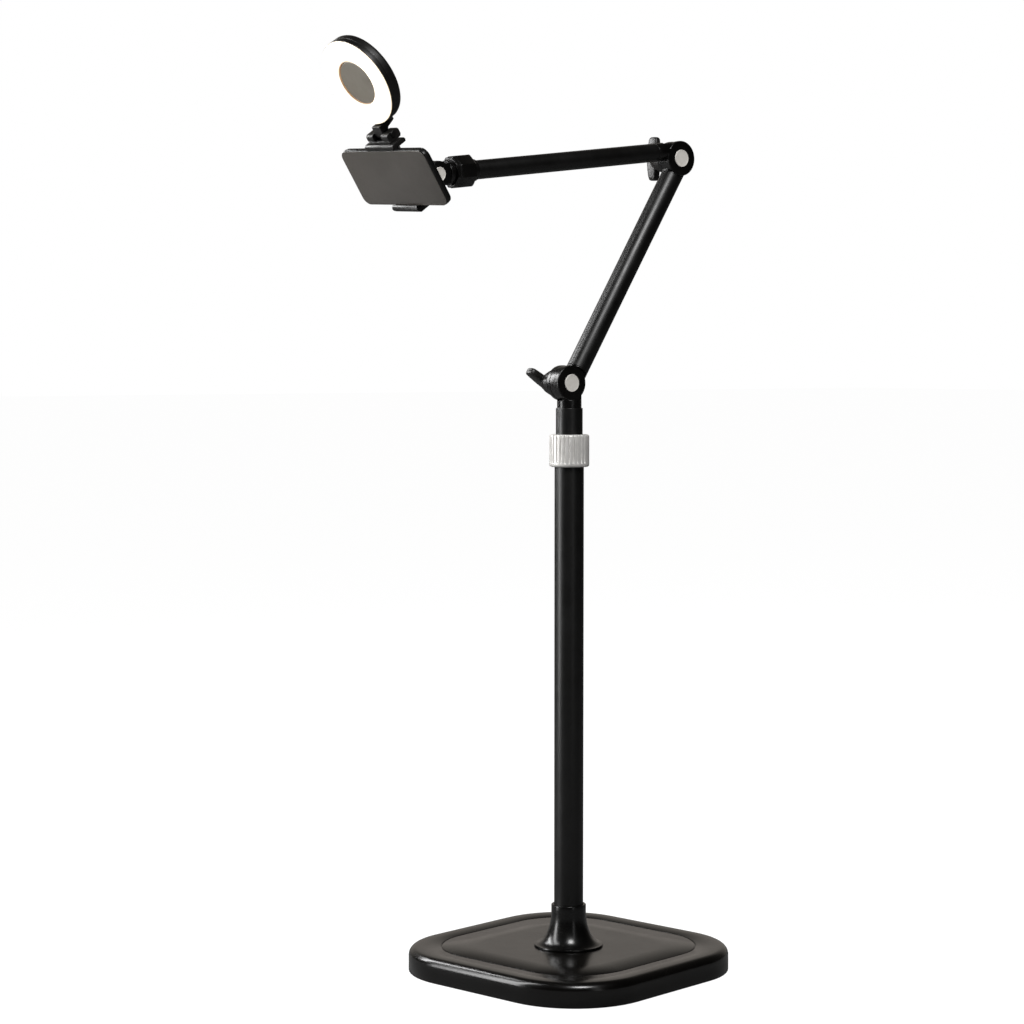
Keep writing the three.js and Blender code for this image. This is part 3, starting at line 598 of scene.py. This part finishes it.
# ---------------------------------------------------------------- collar and mast
def collar():
    """Ribs of two widths with rounded valleys between them, plain rims and two plain lobes."""
    r, bottom, top, ribs, per_rib, rib_depth = 23.6, 599.0, 637.0, 28, 14, 1.4
    lobes, lobe_half = (-50, 130), math.radians(26)
    outside = [  # height, how far in the rim is, how deep the valleys are
        (bottom, 2.2, 0), (bottom + 0.5, 1.1, 0), (bottom + 1.3, 0.3, 0), (bottom + 2.6, 0, 0),
        (bottom + 4.2, 0, 0), (bottom + 5.2, 0, 1), (bottom + 14, 0, 1), (top - 14, 0, 1),
        (top - 2.4, 0, 1), (top - 1.4, 0.25, 0.8), (top - 0.5, 1.0, 0.3), (top, 2.2, 0),
    ]
    inside = [
        (16.5, top), (16.3, top - 0.4), (16.3, 632.3), (20.3, 632.2), (20.3, bottom + 3.5),
        (17.8, bottom + 3.4), (17.8, bottom),
    ]
    turns = [k / per_rib for k in range(ribs * per_rib)]
    bm = bmesh.new()
    rings = []
    for z, inset, cut in outside:
        row = []
        for turn in turns:
            a = 2 * math.pi * turn / ribs
            off = [abs(math.remainder(a - math.radians(side), 2 * math.pi)) for side in lobes]
            across = abs(turn - round(turn)) * 2
            width = 0.4 if round(turn) % 2 else 0.3
            valley = max(0.0, 1 - (across / width) ** 2) ** 0.7
            depth = 0 if min(off) < lobe_half else rib_depth * valley * cut
            radius = r - inset - depth
            row.append(bm.verts.new((radius * math.cos(a), radius * math.sin(a), z)))
        rings.append(row)
    for radius, z in inside:
        row = []
        for turn in turns:
            a = 2 * math.pi * turn / ribs
            row.append(bm.verts.new((radius * math.cos(a), radius * math.sin(a), z)))
        rings.append(row)
    for low, high in zip(rings, rings[1:] + rings[:1]):
        skin(bm, low, high)
    return bm


piece("twist_collar", collar(), ROOT, "collar", collar_silver, "collar_metal", "lock_collar", crease=50)
mast = ring(MAST_BORE, MAST_R, MAST_FOOT, MAST_TOP, 0.5)
piece("mast_tube", mast, ROOT, "mast", coat_black, "pole_coat", "inner_tube")


# ---------------------------------------------------------------- clevis joints
CHEEK, SLOT, TONGUE = 11, 4.95, 4.8  # half widths of a fork, of its slot and of the tongue in it
WEB = CHEEK - 0.02
TONGUE_WEB = TONGUE - 0.02
BOLT_HOLE, BOLT_HEAD_HOLE = 4.2, 7
CAP_R = 10.3
ROUND = 128  # sides of a drum
SHOULDER_KNOB_TURN, HEAD_KNOB_TURN = -59, -90


def drum(r):
    return to_y(rod(r, -CHEEK, CHEEK, 1.3, ROUND))


def bolt_hole(reach):
    return ("-", to_y(rod(BOLT_HOLE, -reach, reach, 0, 32)))


def openings(r=CAP_R):
    """The cuts for the bolt, for the cap on the near cheek and for the bolt's head under that cap."""
    cap_seat = to_y(rod(r + 0.3, -14, -9.6, 0, 64))
    head_seat = to_y(rod(BOLT_HEAD_HOLE, -14, -6.9, 0, 32))
    return [bolt_hole(14), ("-", cap_seat), ("-", head_seat)]


def cap(r):
    """A satin disc with a fine raised rim and a shallow dish inside it."""
    rim = [
        (r, -9.9, 0.2), (r, -11.6, 0.4), (r - 0.7, -11.95, 0.25), (r - 1.2, -11.65, 0.2),
        (r - 4.3, -11.5, 2),
    ]
    return to_y(turned([(0, -9.9), *rim, (0, -11.5)], 0.0, 96))


def washer(r):
    """A rubber ring with a shallow recess in its outer face."""
    hole, inner, outer = 4.6, 11.3, 13.5
    step = outer - 0.4
    outline = [
        (hole, inner), (r, inner), (r, outer), (r - 3, outer, 0.2), (r - 3.4, step, 0.2), (hole, step),
    ]
    return to_y(turned(outline, 0.3, 96))


HUB = [
    (0, 13.9), (14.4, 13.9), (15, 14.6, 0.4), (15, 24.5, 1.2), (14.2, 26.4, 1.5), (12.6, 31.0, 3),
    (10.2, 35.2, 2), (9.0, 38.4, 1.6), (0, 38.8),
]


def knob():
    """Tapered hub and two wings that thin towards their tips."""
    body = to_y(turned(HUB, 0.3, 96))
    wings = bmesh.new()
    round_wing = 24
    stations = [  # along the wings, from and to on the knob's axis, half thickness
        (-24, 37.5, 43.5, 3.4), (-23, 35.4, 45.8, 4.2), (-19, 34.0, 47.8, 4.7), (-11, 33.0, 49.4, 5.0),
        (-4, 32.0, 50.0, 5.2), (2, 31.8, 49.9, 5.2), (8, 31.8, 49.6, 5.1), (14, 31.8, 48.9, 4.9),
        (20, 32.0, 48.2, 4.7), (25.5, 32.6, 47.1, 4.4), (27.6, 34.2, 45.4, 3.9), (28.5, 36.2, 43.4, 3.2),
    ]
    rings = []
    for z, y0, y1, t in stations:
        row = []
        middle, half = (y0 + y1) / 2, (y1 - y0) / 2
        for k in range(round_wing):
            a = 2 * math.pi * k / round_wing
            c, s = math.cos(a), math.sin(a)
            y = middle + half * math.copysign(abs(c) ** 0.45, c)
            x = t * math.copysign(abs(s) ** 0.55, s)
            row.append(wings.verts.new((x, y, z)))
        rings.append(row)
    for low, high in zip(rings, rings[1:]):
        skin(wings, low, high)
    wings.faces.new(rings[0])
    wings.faces.new(rings[-1])
    bmesh.ops.recalc_face_normals(wings, faces=wings.faces)
    return combine(body, ("+", wings), ("-", to_y(rod(4.3, 12, 36.3, 0, 32))))


def clevis(name, matrix, body, washer_radius, cap_radius=CAP_R):
    """The silver cap and the rubber washer of a joint."""
    piece(name + "_silver_cap", cap(cap_radius), matrix, body, cap_silver, "cap_metal", name + "_cap")
    piece(name + "_ring", washer(washer_radius), matrix, body, rubber, "rubber", name + "_washer")


SHOULDER_Z, NECK_Z = 697.4, 640  # heights of the shoulder's hinge and of the neck's foot
NECK_R, NECK_X = 14.4, 4.8
WIDE = 40  # half of a cut that goes right through a fork


def shoulder_fork():
    """A drum on a round neck, slotted for the arm's tongue, with a fine groove down its front."""
    floor, foot = -SHOULDER_R, NECK_Z - SHOULDER_Z
    neck = turned([(0, foot), (NECK_R, foot), (NECK_R, floor + 1.2, 0.8), (0, floor + 1.2)], 0.6, ROUND)
    moved(neck, x=NECK_X)
    column = moved(rod(NECK_R - 0.05, floor - 1, 0, 0, ROUND), x=NECK_X)
    web = combine(column, ("*", block((-30, 30), (-WEB, WEB), (floor - 3, 2))))
    slot = block((-WIDE, WIDE), (-SLOT, SLOT), (floor, WIDE))
    groove = block((-12, -9), (-0.6, 0.6), (-28.6, floor + 2))
    return combine(drum(SHOULDER_R), ("+", neck), ("+", web), ("-", slot), ("-", groove), *openings())


LOWER_BORE, LOWER_TUBE_R = 12, 13


def tongue(cheek_radius):
    """End piece of the lower arm: a disc in the fork's slot, a web, a flange and a plug in the tube."""
    seat = cheek_radius + 0.4
    disc = to_y(rod(cheek_radius - 0.25, -TONGUE, TONGUE, 0.3, ROUND))
    sides = (LOWER_OFFSET - 12.5, LOWER_OFFSET + 12.5)
    web = block(sides, (-TONGUE_WEB, TONGUE_WEB), (0, seat + 0.9))
    end = moved(rod(LOWER_TUBE_R, seat, seat + 1.1, 0.3, 96), x=LOWER_OFFSET)
    plug = moved(rod(LOWER_BORE - 0.3, seat, seat + 30, 0.5), x=LOWER_OFFSET)
    return combine(disc, ("+", web), ("+", end), ("+", plug), bolt_hole(8))


piece("shoulder_clevis", shoulder_fork(), SHOULDER, "shoulder", boss_black, "boss_plastic", "shoulder_fork")
clevis("shoulder", SHOULDER, "shoulder", 17.5)
at = SHOULDER @ Matrix.Rotation(math.radians(SHOULDER_KNOB_TURN), 4, "Y")
piece("shoulder_wing_knob", knob(), at, "shoulder_wing", knob_black, "knob_plastic", "shoulder_knob")

TUBE_GAP = 1.7  # between a drum and the end of the lower tube
tube = ring(LOWER_BORE, LOWER_TUBE_R, SHOULDER_R + TUBE_GAP, LOWER_LENGTH - ELBOW_R - TUBE_GAP, TUBE_END)
tube = moved(tube, x=LOWER_OFFSET)
near_tongue, far_tongue = tongue(SHOULDER_R), tongue(ELBOW_R)
far_end = LOWER @ Matrix.Translation((0, 0, LOWER_LENGTH)) @ Matrix.Rotation(math.pi, 4, "X")
piece("lower_tube", tube, LOWER, "lower_arm", coat_black, "pole_coat", "lower_arm_tube")
piece("lower_end_shoulder", near_tongue, LOWER, "lower_arm", boss_black, "boss_plastic", "shoulder_tongue")
piece("lower_end_elbow", far_tongue, far_end, "lower_arm", boss_black, "boss_plastic", "elbow_tongue")


UPPER_BORE, UPPER_TUBE_R, UPPER_FROM, UPPER_TO = 9.9, 10.9, 33.35, 301.7
PLUG_R = UPPER_BORE - 0.3


def elbow_fork():
    """A slotted drum with the ferrule that holds the upper tube, and a plug inside the tube."""
    ferrule = moved(turned([(0, 0), (11, 0), (11, 33, 0.5), (0, 33)], 0.0, ROUND), x=UPPER_OFFSET)
    plug = moved(rod(PLUG_R, 30, 60, 0.4, 90), x=UPPER_OFFSET)
    slot = block((-WIDE, WIDE), (-SLOT, SLOT), (-WIDE, ELBOW_R))
    return combine(drum(ELBOW_R), ("+", ferrule), ("+", plug), ("-", slot), *openings())


piece("elbow_clevis", elbow_fork(), UPPER, "upper_arm", boss_black, "boss_plastic", "elbow_fork")
clevis("elbow", UPPER, "upper_arm", 18.5)
piece("elbow_wing_knob", knob(), ELBOW, "elbow_wing", knob_black, "knob_plastic", "elbow_knob")
tube = ring(UPPER_BORE, UPPER_TUBE_R, UPPER_FROM, UPPER_TO, TUBE_END)
piece("upper_tube", tube, BORE, "upper_arm", coat_black, "pole_coat", "upper_arm_tube")

FLANGE_FOOT, FLANGE_SEAT, FLANGE_FRONT, FLANGE_TIP = 272, 302, 309.3, 332
outline = [
    (0, FLANGE_FOOT), (PLUG_R, FLANGE_FOOT), (PLUG_R, FLANGE_SEAT, 0.1), (12.2, FLANGE_SEAT, 0.3),
    (12.6, FLANGE_SEAT + 1, 0.4), (12.6, FLANGE_FRONT, 0.3), (8.6, FLANGE_FRONT, 0.1), (8.6, FLANGE_TIP),
    (0, FLANGE_TIP),
]
piece("upper_end", turned(outline, 0.3), BORE, "upper_arm", boss_black, "boss_plastic", "arm_end_flange")


def lock_nut():
    """Eight flats with rounded corners, a stepped front end and a bevelled mouth."""
    bm = bmesh.new()
    flats = 8
    rows = [  # height, distance of the flats from the axis, rounding of the corners
        (309.6, 15.9, 3.6), (310.3, 17.0, 3.0), (312.0, 18.0, 2.0), (331.0, 18.0, 2.0),
        (331.6, 17.4, 2.4), (332.2, 17.2, 2.4), (335.0, 17.0, 2.6), (336.0, 16.0, 3.4),
    ]
    rings = []
    for z, flat, soft in rows:
        corner = flat / math.cos(math.pi / flats)
        turns = [math.pi / flats * (2 * k + 1) for k in range(flats)]
        outline = [(corner * math.cos(a), corner * math.sin(a)) for a in turns]
        rings.append([bm.verts.new((p.x, p.y, z)) for p in fillet(outline, True, soft)])
    for low, high in zip(rings, rings[1:]):
        skin(bm, low, high)
    bm.faces.new(rings[0])
    bm.faces.new(rings[-1])
    bmesh.ops.recalc_face_normals(bm, faces=bm.faces)
    mouth = [(0, 312.4), (12.4, 312.4), (12.4, 334.6, 0.8), (13.6, 336.4), (0, 336.5)]
    return combine(bm, ("-", rod(9.2, 300, 340, 0, 64)), ("-", turned(mouth, 0.0, 64)))


piece("head_lock_nut", lock_nut(), BORE, "nut", boss_black, "boss_plastic", "lock_nut")


# ---------------------------------------------------------------- head
HEAD_CAP, HEAD_R = 8.2, 15


def head_fork():
    """A stem that turns in the nut, a round collar, and a slotted drum for the clamp's tongue."""
    floor = HEAD_REACH - HEAD_R
    stem = rod(11.7, 312.8, 338, 0.4, 96)
    neck = rod(14, 336.3, floor - 0.4, 0.7, 96)
    web = rounded_block((-11.5, 11.5), (-WEB, WEB), (floor - 1, HEAD_REACH - 6), 0.6, 1.0)
    cheeks = moved(drum(HEAD_R), z=HEAD_REACH)
    slot = block((-30, 30), (-SLOT, SLOT), (floor, HEAD_REACH + 30))
    hollow = rod(9, 308, 333, 0, 64)
    holes = [(sign, moved(tool, z=HEAD_REACH)) for sign, tool in openings(HEAD_CAP)]
    return combine(stem, ("+", neck), ("+", web), ("+", cheeks), ("-", slot), ("-", hollow), *holes)


piece("head_clevis", head_fork(), ROLL, "head", boss_black, "boss_plastic", "head_fork")
clevis("head", HEAD, "head", 14, HEAD_CAP)
at = HEAD @ Matrix.Rotation(math.radians(HEAD_KNOB_TURN), 4, "Y")
piece("head_wing_knob", knob(), at, "head_wing", knob_black, "knob_plastic", "head_knob")


# ---------------------------------------------------------------- clamp
EDGE = 35.25  # half the phone's height
BODY_HALF, JAW_HALF, CLIP_HALF = 22.5, 25.0, 19.0
ROD_X, ROD_Y = 16, (-13, 13)  # places of the two guide rods


def clamp_tongue():
    """A disc in the head's slot, a web and a short stem, and a plate behind the clamp's body."""
    disc = to_y(rod(HEAD_R - 0.25, -TONGUE, TONGUE, 0.4, 96))
    front, step = 25.8 - HEAD_BACK, 34 - HEAD_BACK
    web = block((front, 0), (-TONGUE_WEB, TONGUE_WEB), (-8.95, 8.95), 0.5)
    stem = to_x(turned([(0, front), (9, front), (9, step, 0.8), (0, step)], 0, 64))
    plate = moved(panel(26, 26, 5, 24.3, 26.8, 0.6), z=-HEAD_DROP)
    plate.transform(HEAD.inverted() @ PHONE)
    return combine(disc, ("+", web), ("+", stem), ("+", plate), bolt_hole(10))


def clamp_body():
    """The block behind the phone, with the lower jaw and its hooked lip."""
    floor = -EDGE - 1.8
    outline = [
        (21, -43, 2), (24, -39, 2), (24, 20, 1.5), (11, 20, 1), (11, floor, 0.4), (-1, floor, 0.5),
        (-1, -EDGE + 0.9, 0.8), (-2.4, -EDGE + 1.6, 1), (-4.2, -EDGE + 0.4, 1), (-5.2, -EDGE - 2.4, 1.2),
        (-4.2, -EDGE - 4.8, 1.5), (-1, -43, 2),
    ]
    body = prism(fillet(outline), -BODY_HALF, BODY_HALF, 1.2, 4)
    bores = [("-", moved(rod(2.9, -28, 22, 0, 32), ROD_X, y)) for y in ROD_Y]
    return combine(body, *bores)


def upper_jaw():
    """The sprung jaw over the phone, with a socket for each guide rod."""
    seat = EDGE + 1.8
    outline = [
        (1, seat, 0.3), (8.4, seat, 0.2), (8.4, EDGE + 0.3, 0.3), (21, EDGE + 0.3, 0.8), (22, EDGE + 3, 1),
        (20.5, EDGE + 5.4, 1.4), (17, EDGE + 6, 1.5), (3.5, EDGE + 6, 1.2), (1.4, EDGE + 4.8, 1.2),
    ]
    sockets = [("-", moved(rod(2.8, EDGE - 1, EDGE + 4.8, 0, 32), ROD_X, y)) for y in ROD_Y]
    return combine(prism(fillet(outline), -JAW_HALF, JAW_HALF, 1.2, 4), *sockets)


PIN_HOLE = 2.3


def light_clip():
    """A foot block with two ears, one each side of the light's barrel."""
    foot, top = EDGE + 6.3, 52.4
    outline = [(5, foot, 0.6), (22, foot, 0.8), (23.8, foot + 2.5, 1), (23.8, top, 4.2), (5, top, 3.6)]
    outline.append((5, foot + 3, 1))
    body = prism(fillet(outline), -CLIP_HALF, CLIP_HALF, 1.3, 4)
    waist = [(3, foot + 1.6), (6.2, foot + 2.4, 0.8), (6.2, foot + 3.4, 0.8), (3, foot + 4.2)]
    groove = prism(fillet(waist, False), -24, 24, 0)
    gap = block((0, 30), (-7.6, 7.6), (44.3, 60))
    hole = moved(to_y(rod(PIN_HOLE, -24, 24, 0, 32)), 14, 0, 49.2)
    return combine(body, ("-", groove), ("-", gap), ("-", hole))


piece("clamp_arm", clamp_tongue(), HEAD, "clamp", boss_black, "clamp_plastic", "clamp_tongue")
piece("clamp_block", clamp_body(), PHONE, "clamp", knob_black, "clamp_plastic", "clamp_body")
window = moved(panel(27, 27, 5, 23, 28, 0), z=-HEAD_DROP)
cover = combine(moved(panel(38, 54, 6, 24.3, 26.2, 0.6), z=-12), ("-", window))
piece("clamp_lid", cover, PHONE, "clamp", boss_black, "clamp_plastic", "clamp_cover")
piece("jaw_block", upper_jaw(), PHONE, "jaw", knob_black, "clamp_plastic", "upper_jaw")
piece("clip_block", light_clip(), PHONE, "jaw", knob_black, "clamp_plastic", "light_clip")


# ---------------------------------------------------------------- phone
PHONE_LONG, PHONE_THICK = 150, 8
GLASS_LONG, GLASS_HIGH, GLASS_CORNER = PHONE_LONG - 0.6, 2 * EDGE - 0.6, 9.8


def phone_shell():
    """The metal frame: a rounded band, open in front and behind, with a slot for each key."""
    band = panel(PHONE_LONG, 2 * EDGE, 10, 1.1, 6.9, 1.6, 6)
    inside = panel(PHONE_LONG - 6, 2 * EDGE - 6, 7, 0, PHONE_THICK, 0)
    volume_slot = rounded_block((2.45, 5.55), (45.05, 64.55), (EDGE - 2.1, EDGE + 1.5), 1.0, 0)
    power_slot = rounded_block((2.45, 5.55), (48.75, 61.25), (-EDGE - 1.5, -EDGE + 2.1), 1.0, 0)
    return combine(band, ("-", inside), ("-", volume_slot), ("-", power_slot))


def phone_glass(x0, x1):
    return panel(GLASS_LONG, GLASS_HIGH, GLASS_CORNER, x0, x1, 0.45, 4)


piece("phone_rim", phone_shell(), PHONE, "phone", phone_metal, "phone_shell", "phone_frame")
piece("phone_front", phone_glass(0, 0.8), PHONE, "phone", screen_glass, "phone_glass", "phone_screen")
rear = phone_glass(PHONE_THICK - 0.8, PHONE_THICK)
piece("phone_rear", rear, PHONE, "phone", back_glass, "phone_glass", "phone_back")
BUMP_Y, BUMP_Z, LENS_OFF = -54, 18, 6
bump = moved(panel(27, 27, 7, 8.3, 9.7, 0.6, 4), 0, BUMP_Y, BUMP_Z)
piece("phone_camera_plate", bump, PHONE, "phone", back_glass, "phone_shell", "camera_bump")
LENS = [(2.4, 10), (5.2, 10), (5.2, 11, 0.3), (4.4, 11, 0.2), (3.2, 10.5, 0.2), (2.4, 10.4)]
LENSES = (("phone_lens_a", LENS_OFF, "camera_lens_wide"), ("phone_lens_b", -LENS_OFF, "camera_lens_tele"))
for name, off, node in LENSES:
    lens = moved(to_x(turned(LENS, 0.1, 64)), 0, BUMP_Y - off, BUMP_Z + off)
    piece(name, lens, PHONE, "phone", lens_glass, "lens_glass", node)
volume = rounded_block((2.7, 5.3), (45.3, 64.3), (EDGE - 1.5, EDGE + 0.5), 1.2, 0.3)
piece("phone_volume", volume, PHONE, "volume", phone_metal, "phone_shell", "volume_key")
power = rounded_block((2.7, 5.3), (49, 61), (-EDGE - 0.5, -EDGE + 1.5), 1.2, 0.3)
piece("phone_power", power, PHONE, "power", phone_metal, "phone_shell", "power_key")


# ---------------------------------------------------------------- ring light
LIGHT_Z, LIGHT_R, LIGHT_BACK = 64.5, 51.8, 15.0
BUTTON_DROP = 14
PLATE_IN, PLATE_OUT = 26.5, 51.3


def light_stem():
    """A barrel with the upright rising from it, spreading backwards to a tab behind the housing."""
    front, back = LIGHT_BACK + 0.3, LIGHT_BACK + 2.9
    outline = [(-4.6, 0), (4.6, 0), (6.6, 5, 2), (back, 8.5, 1.2), (back, 11.2), (-4.6, 11.2, 0.8)]
    upright = prism(fillet(outline), -7.15, 7.15, 1.1, 4)
    tab = rounded_block((front, back), (-7.1, 7.1), (8.8, 30), 0.8, 0.9)
    barrel = to_y(rod(4.6, -7.2, 7.2, 0.4, 64))
    return combine(barrel, ("+", upright), ("+", tab), ("-", to_y(rod(PIN_HOLE, -12, 12, 0, 32))))


def light_housing():
    """A flat cup with a seam round its side, a round groove in its back and a rib behind the mirror."""
    r, back, floor, rib_in, rib_out = LIGHT_R, LIGHT_BACK, LIGHT_BACK - 2.2, 23.8, 26.2
    seam = [(r - 0.25, 5.4, 0.05), (r - 0.25, 5.0, 0.05), (r, 4.8, 0.1)]
    dial = [(14, back, 0.2), (14.3, back - 0.4, 0.1), (15.1, back - 0.4, 0.1), (15.4, back, 0.2)]
    outside = [(r - 3.6, back, 2), (r - 1, back - 1, 1.5), (r, back - 3.4, 2), (r, 5.6, 0.1)]
    outside += [*seam, (r, -0.7, 0.4)]
    inside = [(r - 1.6, -0.7, 0.2), (r - 1.6, floor), (rib_out, floor), (rib_out, 0.6, 0.2)]
    inside += [(rib_in, 0.6, 0.2), (rib_in, floor), (0, floor)]
    cup = to_x(turned([(0, back), *dial, *outside, *inside], 0.0, 160))
    button_hole = moved(to_x(rod(4.2, 0, back + 2, 0, 48)), z=-BUTTON_DROP)
    inlet_hole = rounded_block((3.95, 7.75), (43, 56), (-4.8, 4.8), 1.2, 0)
    return moved(combine(cup, ("-", button_hole), ("-", inlet_hole)), z=LIGHT_Z)


def diffuser():
    """A milky annulus, slightly crowned, standing proud of the mirror and covering the housing's edge."""
    front, crown = -1.9, 0.7
    rows = []
    for share in (0, 0.012, 0.03, 0.06, 0.12, 0.3, 0.5, 0.7, 0.88, 0.94, 0.97, 0.988, 1):
        r = PLATE_IN + (PLATE_OUT - PLATE_IN) * share
        rows.append((r, front + crown - crown * (1 - (2 * share - 1) ** 8)))
    rows += [(PLATE_OUT, -0.8), (50.0, -0.8), (50.0, 0.4), (PLATE_IN, 0.4)]
    return to_x(turned(rows, 0.0, 160))


def mark_edges(plate):
    """Writes on each point of the diffuser how far it is in the amber band at its rim or its hole."""
    back_to_local = LIGHT.inverted()
    band = plate.data.attributes.new("edge_band", "FLOAT", "POINT")
    for index, vertex in enumerate(plate.data.vertices):
        local = back_to_local @ vertex.co
        r = math.hypot(local.y, local.z - LIGHT_Z)
        near_rim = max(0.0, 1 - (PLATE_OUT - r) / 1.6) * 0.7
        near_hole = max(0.0, 1 - (r - PLATE_IN) / 2.2) * 0.95
        on_wall = 1.0 if local.x > -0.95 else 0.0
        band.data[index].value = max(near_rim, near_hole, on_wall)


piece("light_neck", light_stem(), LIGHT, "light", knob_black, "clamp_plastic", "light_stem")
piece("light_shell", light_housing(), LIGHT, "light", lamp_black, "light_plastic", "light_housing")
plate = moved(diffuser(), z=LIGHT_Z)
lit = piece("light_plate", plate, LIGHT, "light", diffuser_lit, "diffuser", "light_diffuser", crease=60)
mark_edges(lit)
outline = [(0, -0.5), (24.9, -0.5, 0.3), (25.9, -0.1, 0.3), (25.9, 0.3), (0, 0.3)]
glass = moved(to_x(turned(outline, 0.1, 128)), z=LIGHT_Z)
piece("light_centre", glass, LIGHT, "light", mirror_glass, "mirror", "light_mirror")
outline = [(0, 3), (5.3, 3), (5.3, 4.6), (3.9, 4.6), (3.9, 15.8, 0.4), (2.6, 16.2, 1), (0, 16.0)]
button = moved(to_x(turned(outline, 0.1, 48)), z=LIGHT_Z - BUTTON_DROP)
piece("light_switch", button, LIGHT, "button", knob_black, "light_plastic", "light_button")


# ---------------------------------------------------------------- finishes of the CAD nodes that stay
STAY = {
    iron: ["base_weight"],
    rubber: ["base_mat", "lower_jaw_pad", "upper_jaw_pad", "back_pad"],
    boss_black: ["pole_plug", "thread_sleeve"],
    steel: [
        "pole_bolt", "shoulder_bolt", "elbow_bolt", "head_bolt", "guide_rod_near", "guide_rod_far",
        "charge_inlet",
    ],
    lamp_black: ["light_pin"],
    nylon: ["collet_ring", "guide_bush"],
    foil: ["phone_battery"],
    board_white: ["led_board"],
}
for finish, names in STAY.items():
    for name in names:
        kept = frame["nodes"][name]
        kept.data.materials.clear()
        kept.data.materials.append(finish)


# ---------------------------------------------------------------- stage, light and camera
FORWARD, RIGHT = Vector((0.6, 0.8, 0.0)), Vector((0.8, -0.6, 0.0))
CAMERA_AT = Vector((-1.8539, -2.3596, 0.729))
CAMERA_LENS, CAMERA_DOWN, CAMERA_TURN = 89.65, 3.5, -36.87
middle = Vector((0, 0, 0.6))


def stage_floor():
    """A floor that looks white and hardly lights the stand."""
    mesh = bpy.data.meshes.new("floor")
    far = 40
    mesh.from_pydata([(-far, -far, 0), (far, -far, 0), (far, far, 0), (-far, far, 0)], [], [(0, 1, 2, 3)])
    floor = bpy.data.objects.new("floor", mesh)
    bpy.context.scene.collection.objects.link(floor)
    made = bpy.data.materials.new("floor_white")
    made.use_nodes = True
    n = Nodes(made.node_tree)
    shader = made.node_tree.nodes["Principled BSDF"]
    shader.inputs["Base Color"].default_value = (0.16, 0.16, 0.16, 1)
    shader.inputs["Roughness"].default_value = 0.9
    shader.inputs["Specular IOR Level"].default_value = 0.0
    shader.inputs["Emission Color"].default_value = (1, 1, 1, 1)
    seen = n.add("ShaderNodeLightPath").outputs["Is Camera Ray"]
    n.link(n.span(seen, 0.03, 0.98, 0, 1), shader.inputs["Emission Strength"])
    mesh.materials.append(made)


def sky():
    """White for the eye. For light and reflections, dark but for a glow straight beyond the stand."""
    world = bpy.data.worlds.new("studio")
    bpy.context.scene.world = world
    world.use_nodes = True
    n = Nodes(world.node_tree)
    world.node_tree.nodes.clear()
    out = n.add("ShaderNodeOutputWorld")
    seen = n.add("ShaderNodeBackground")
    seen.inputs["Color"].default_value = (1, 1, 1, 1)
    seen.inputs["Strength"].default_value = 1.0
    cast = n.add("ShaderNodeBackground")
    cast.inputs["Strength"].default_value = 1.0
    direction = n.add("ShaderNodeTexCoord").outputs["Generated"]
    dot = n.add("ShaderNodeVectorMath", operation="DOT_PRODUCT")
    dot.inputs[1].default_value = FORWARD
    n.link(direction, dot.inputs[0])
    glow = [
        (0.0, (0.008, 0.0078, 0.0075)), (0.6, (0.012, 0.0115, 0.011)), (0.85, (0.05, 0.047, 0.043)),
        (0.975, (0.40, 0.37, 0.335)), (1.0, (0.46, 0.42, 0.385)),
    ]
    n.link(n.ramp(n.span(dot.outputs["Value"], 0.0, 1.0, -1.0, 1.0), glow), cast.inputs["Color"])
    path = n.add("ShaderNodeLightPath")
    mix = n.add("ShaderNodeMixShader")
    n.link(path.outputs["Is Camera Ray"], mix.inputs["Fac"])
    n.link(cast.outputs["Background"], mix.inputs[1])
    n.link(seen.outputs["Background"], mix.inputs[2])
    n.link(mix.outputs["Shader"], out.inputs["Surface"])


def softbox(name, at, to, width, height, watts):
    """A rectangular lamp, width by height metres, that looks from one place to another."""
    data = bpy.data.lights.new(name, "AREA")
    data.shape = "RECTANGLE"
    data.size, data.size_y = width, height
    data.energy = watts
    lamp = bpy.data.objects.new(name, data)
    lamp.location = at
    lamp.rotation_mode = "QUATERNION"
    lamp.rotation_quaternion = (Vector(to) - Vector(at)).to_track_quat("-Z", "Y")
    bpy.context.scene.collection.objects.link(lamp)


def around(right, forward, up):
    """A place in metres from the stand's middle, as the camera sees right and forward."""
    return middle + RIGHT * right + FORWARD * forward + UP * up


stage_floor()
sky()
softbox("left_strip", around(-2.2, -0.3, 0.9), around(0, 0, 0.4), 0.5, 3.2, 58)
softbox("front_top", around(0.5, -2.2, 2.5), around(0, 0, 0.1), 1.0, 1.0, 78)
softbox("right_strip", around(1.3, -2.2, 0.5), middle, 0.3, 2.2, 2.4)
softbox("drum_card", around(-1.8, 0.8, 0.8), around(0, 0, 0.1), 0.4, 1.2, 24)
softbox("back_card", around(-2.0, 1.45, 1.15), around(0, 0, -0.5), 0.9, 0.5, 9)

camera_data = bpy.data.cameras.new("camera")
camera_data.sensor_width = 36
camera_data.lens = CAMERA_LENS
camera_data.clip_end = 100
camera = bpy.data.objects.new("camera", camera_data)
camera.location = CAMERA_AT
camera.rotation_euler = (math.radians(90 - CAMERA_DOWN), 0, math.radians(CAMERA_TURN))
bpy.context.scene.collection.objects.link(camera)
bpy.context.scene.camera = camera
bpy.context.scene.view_settings.view_transform = "Standard"
bpy.context.scene.view_settings.look = "None"
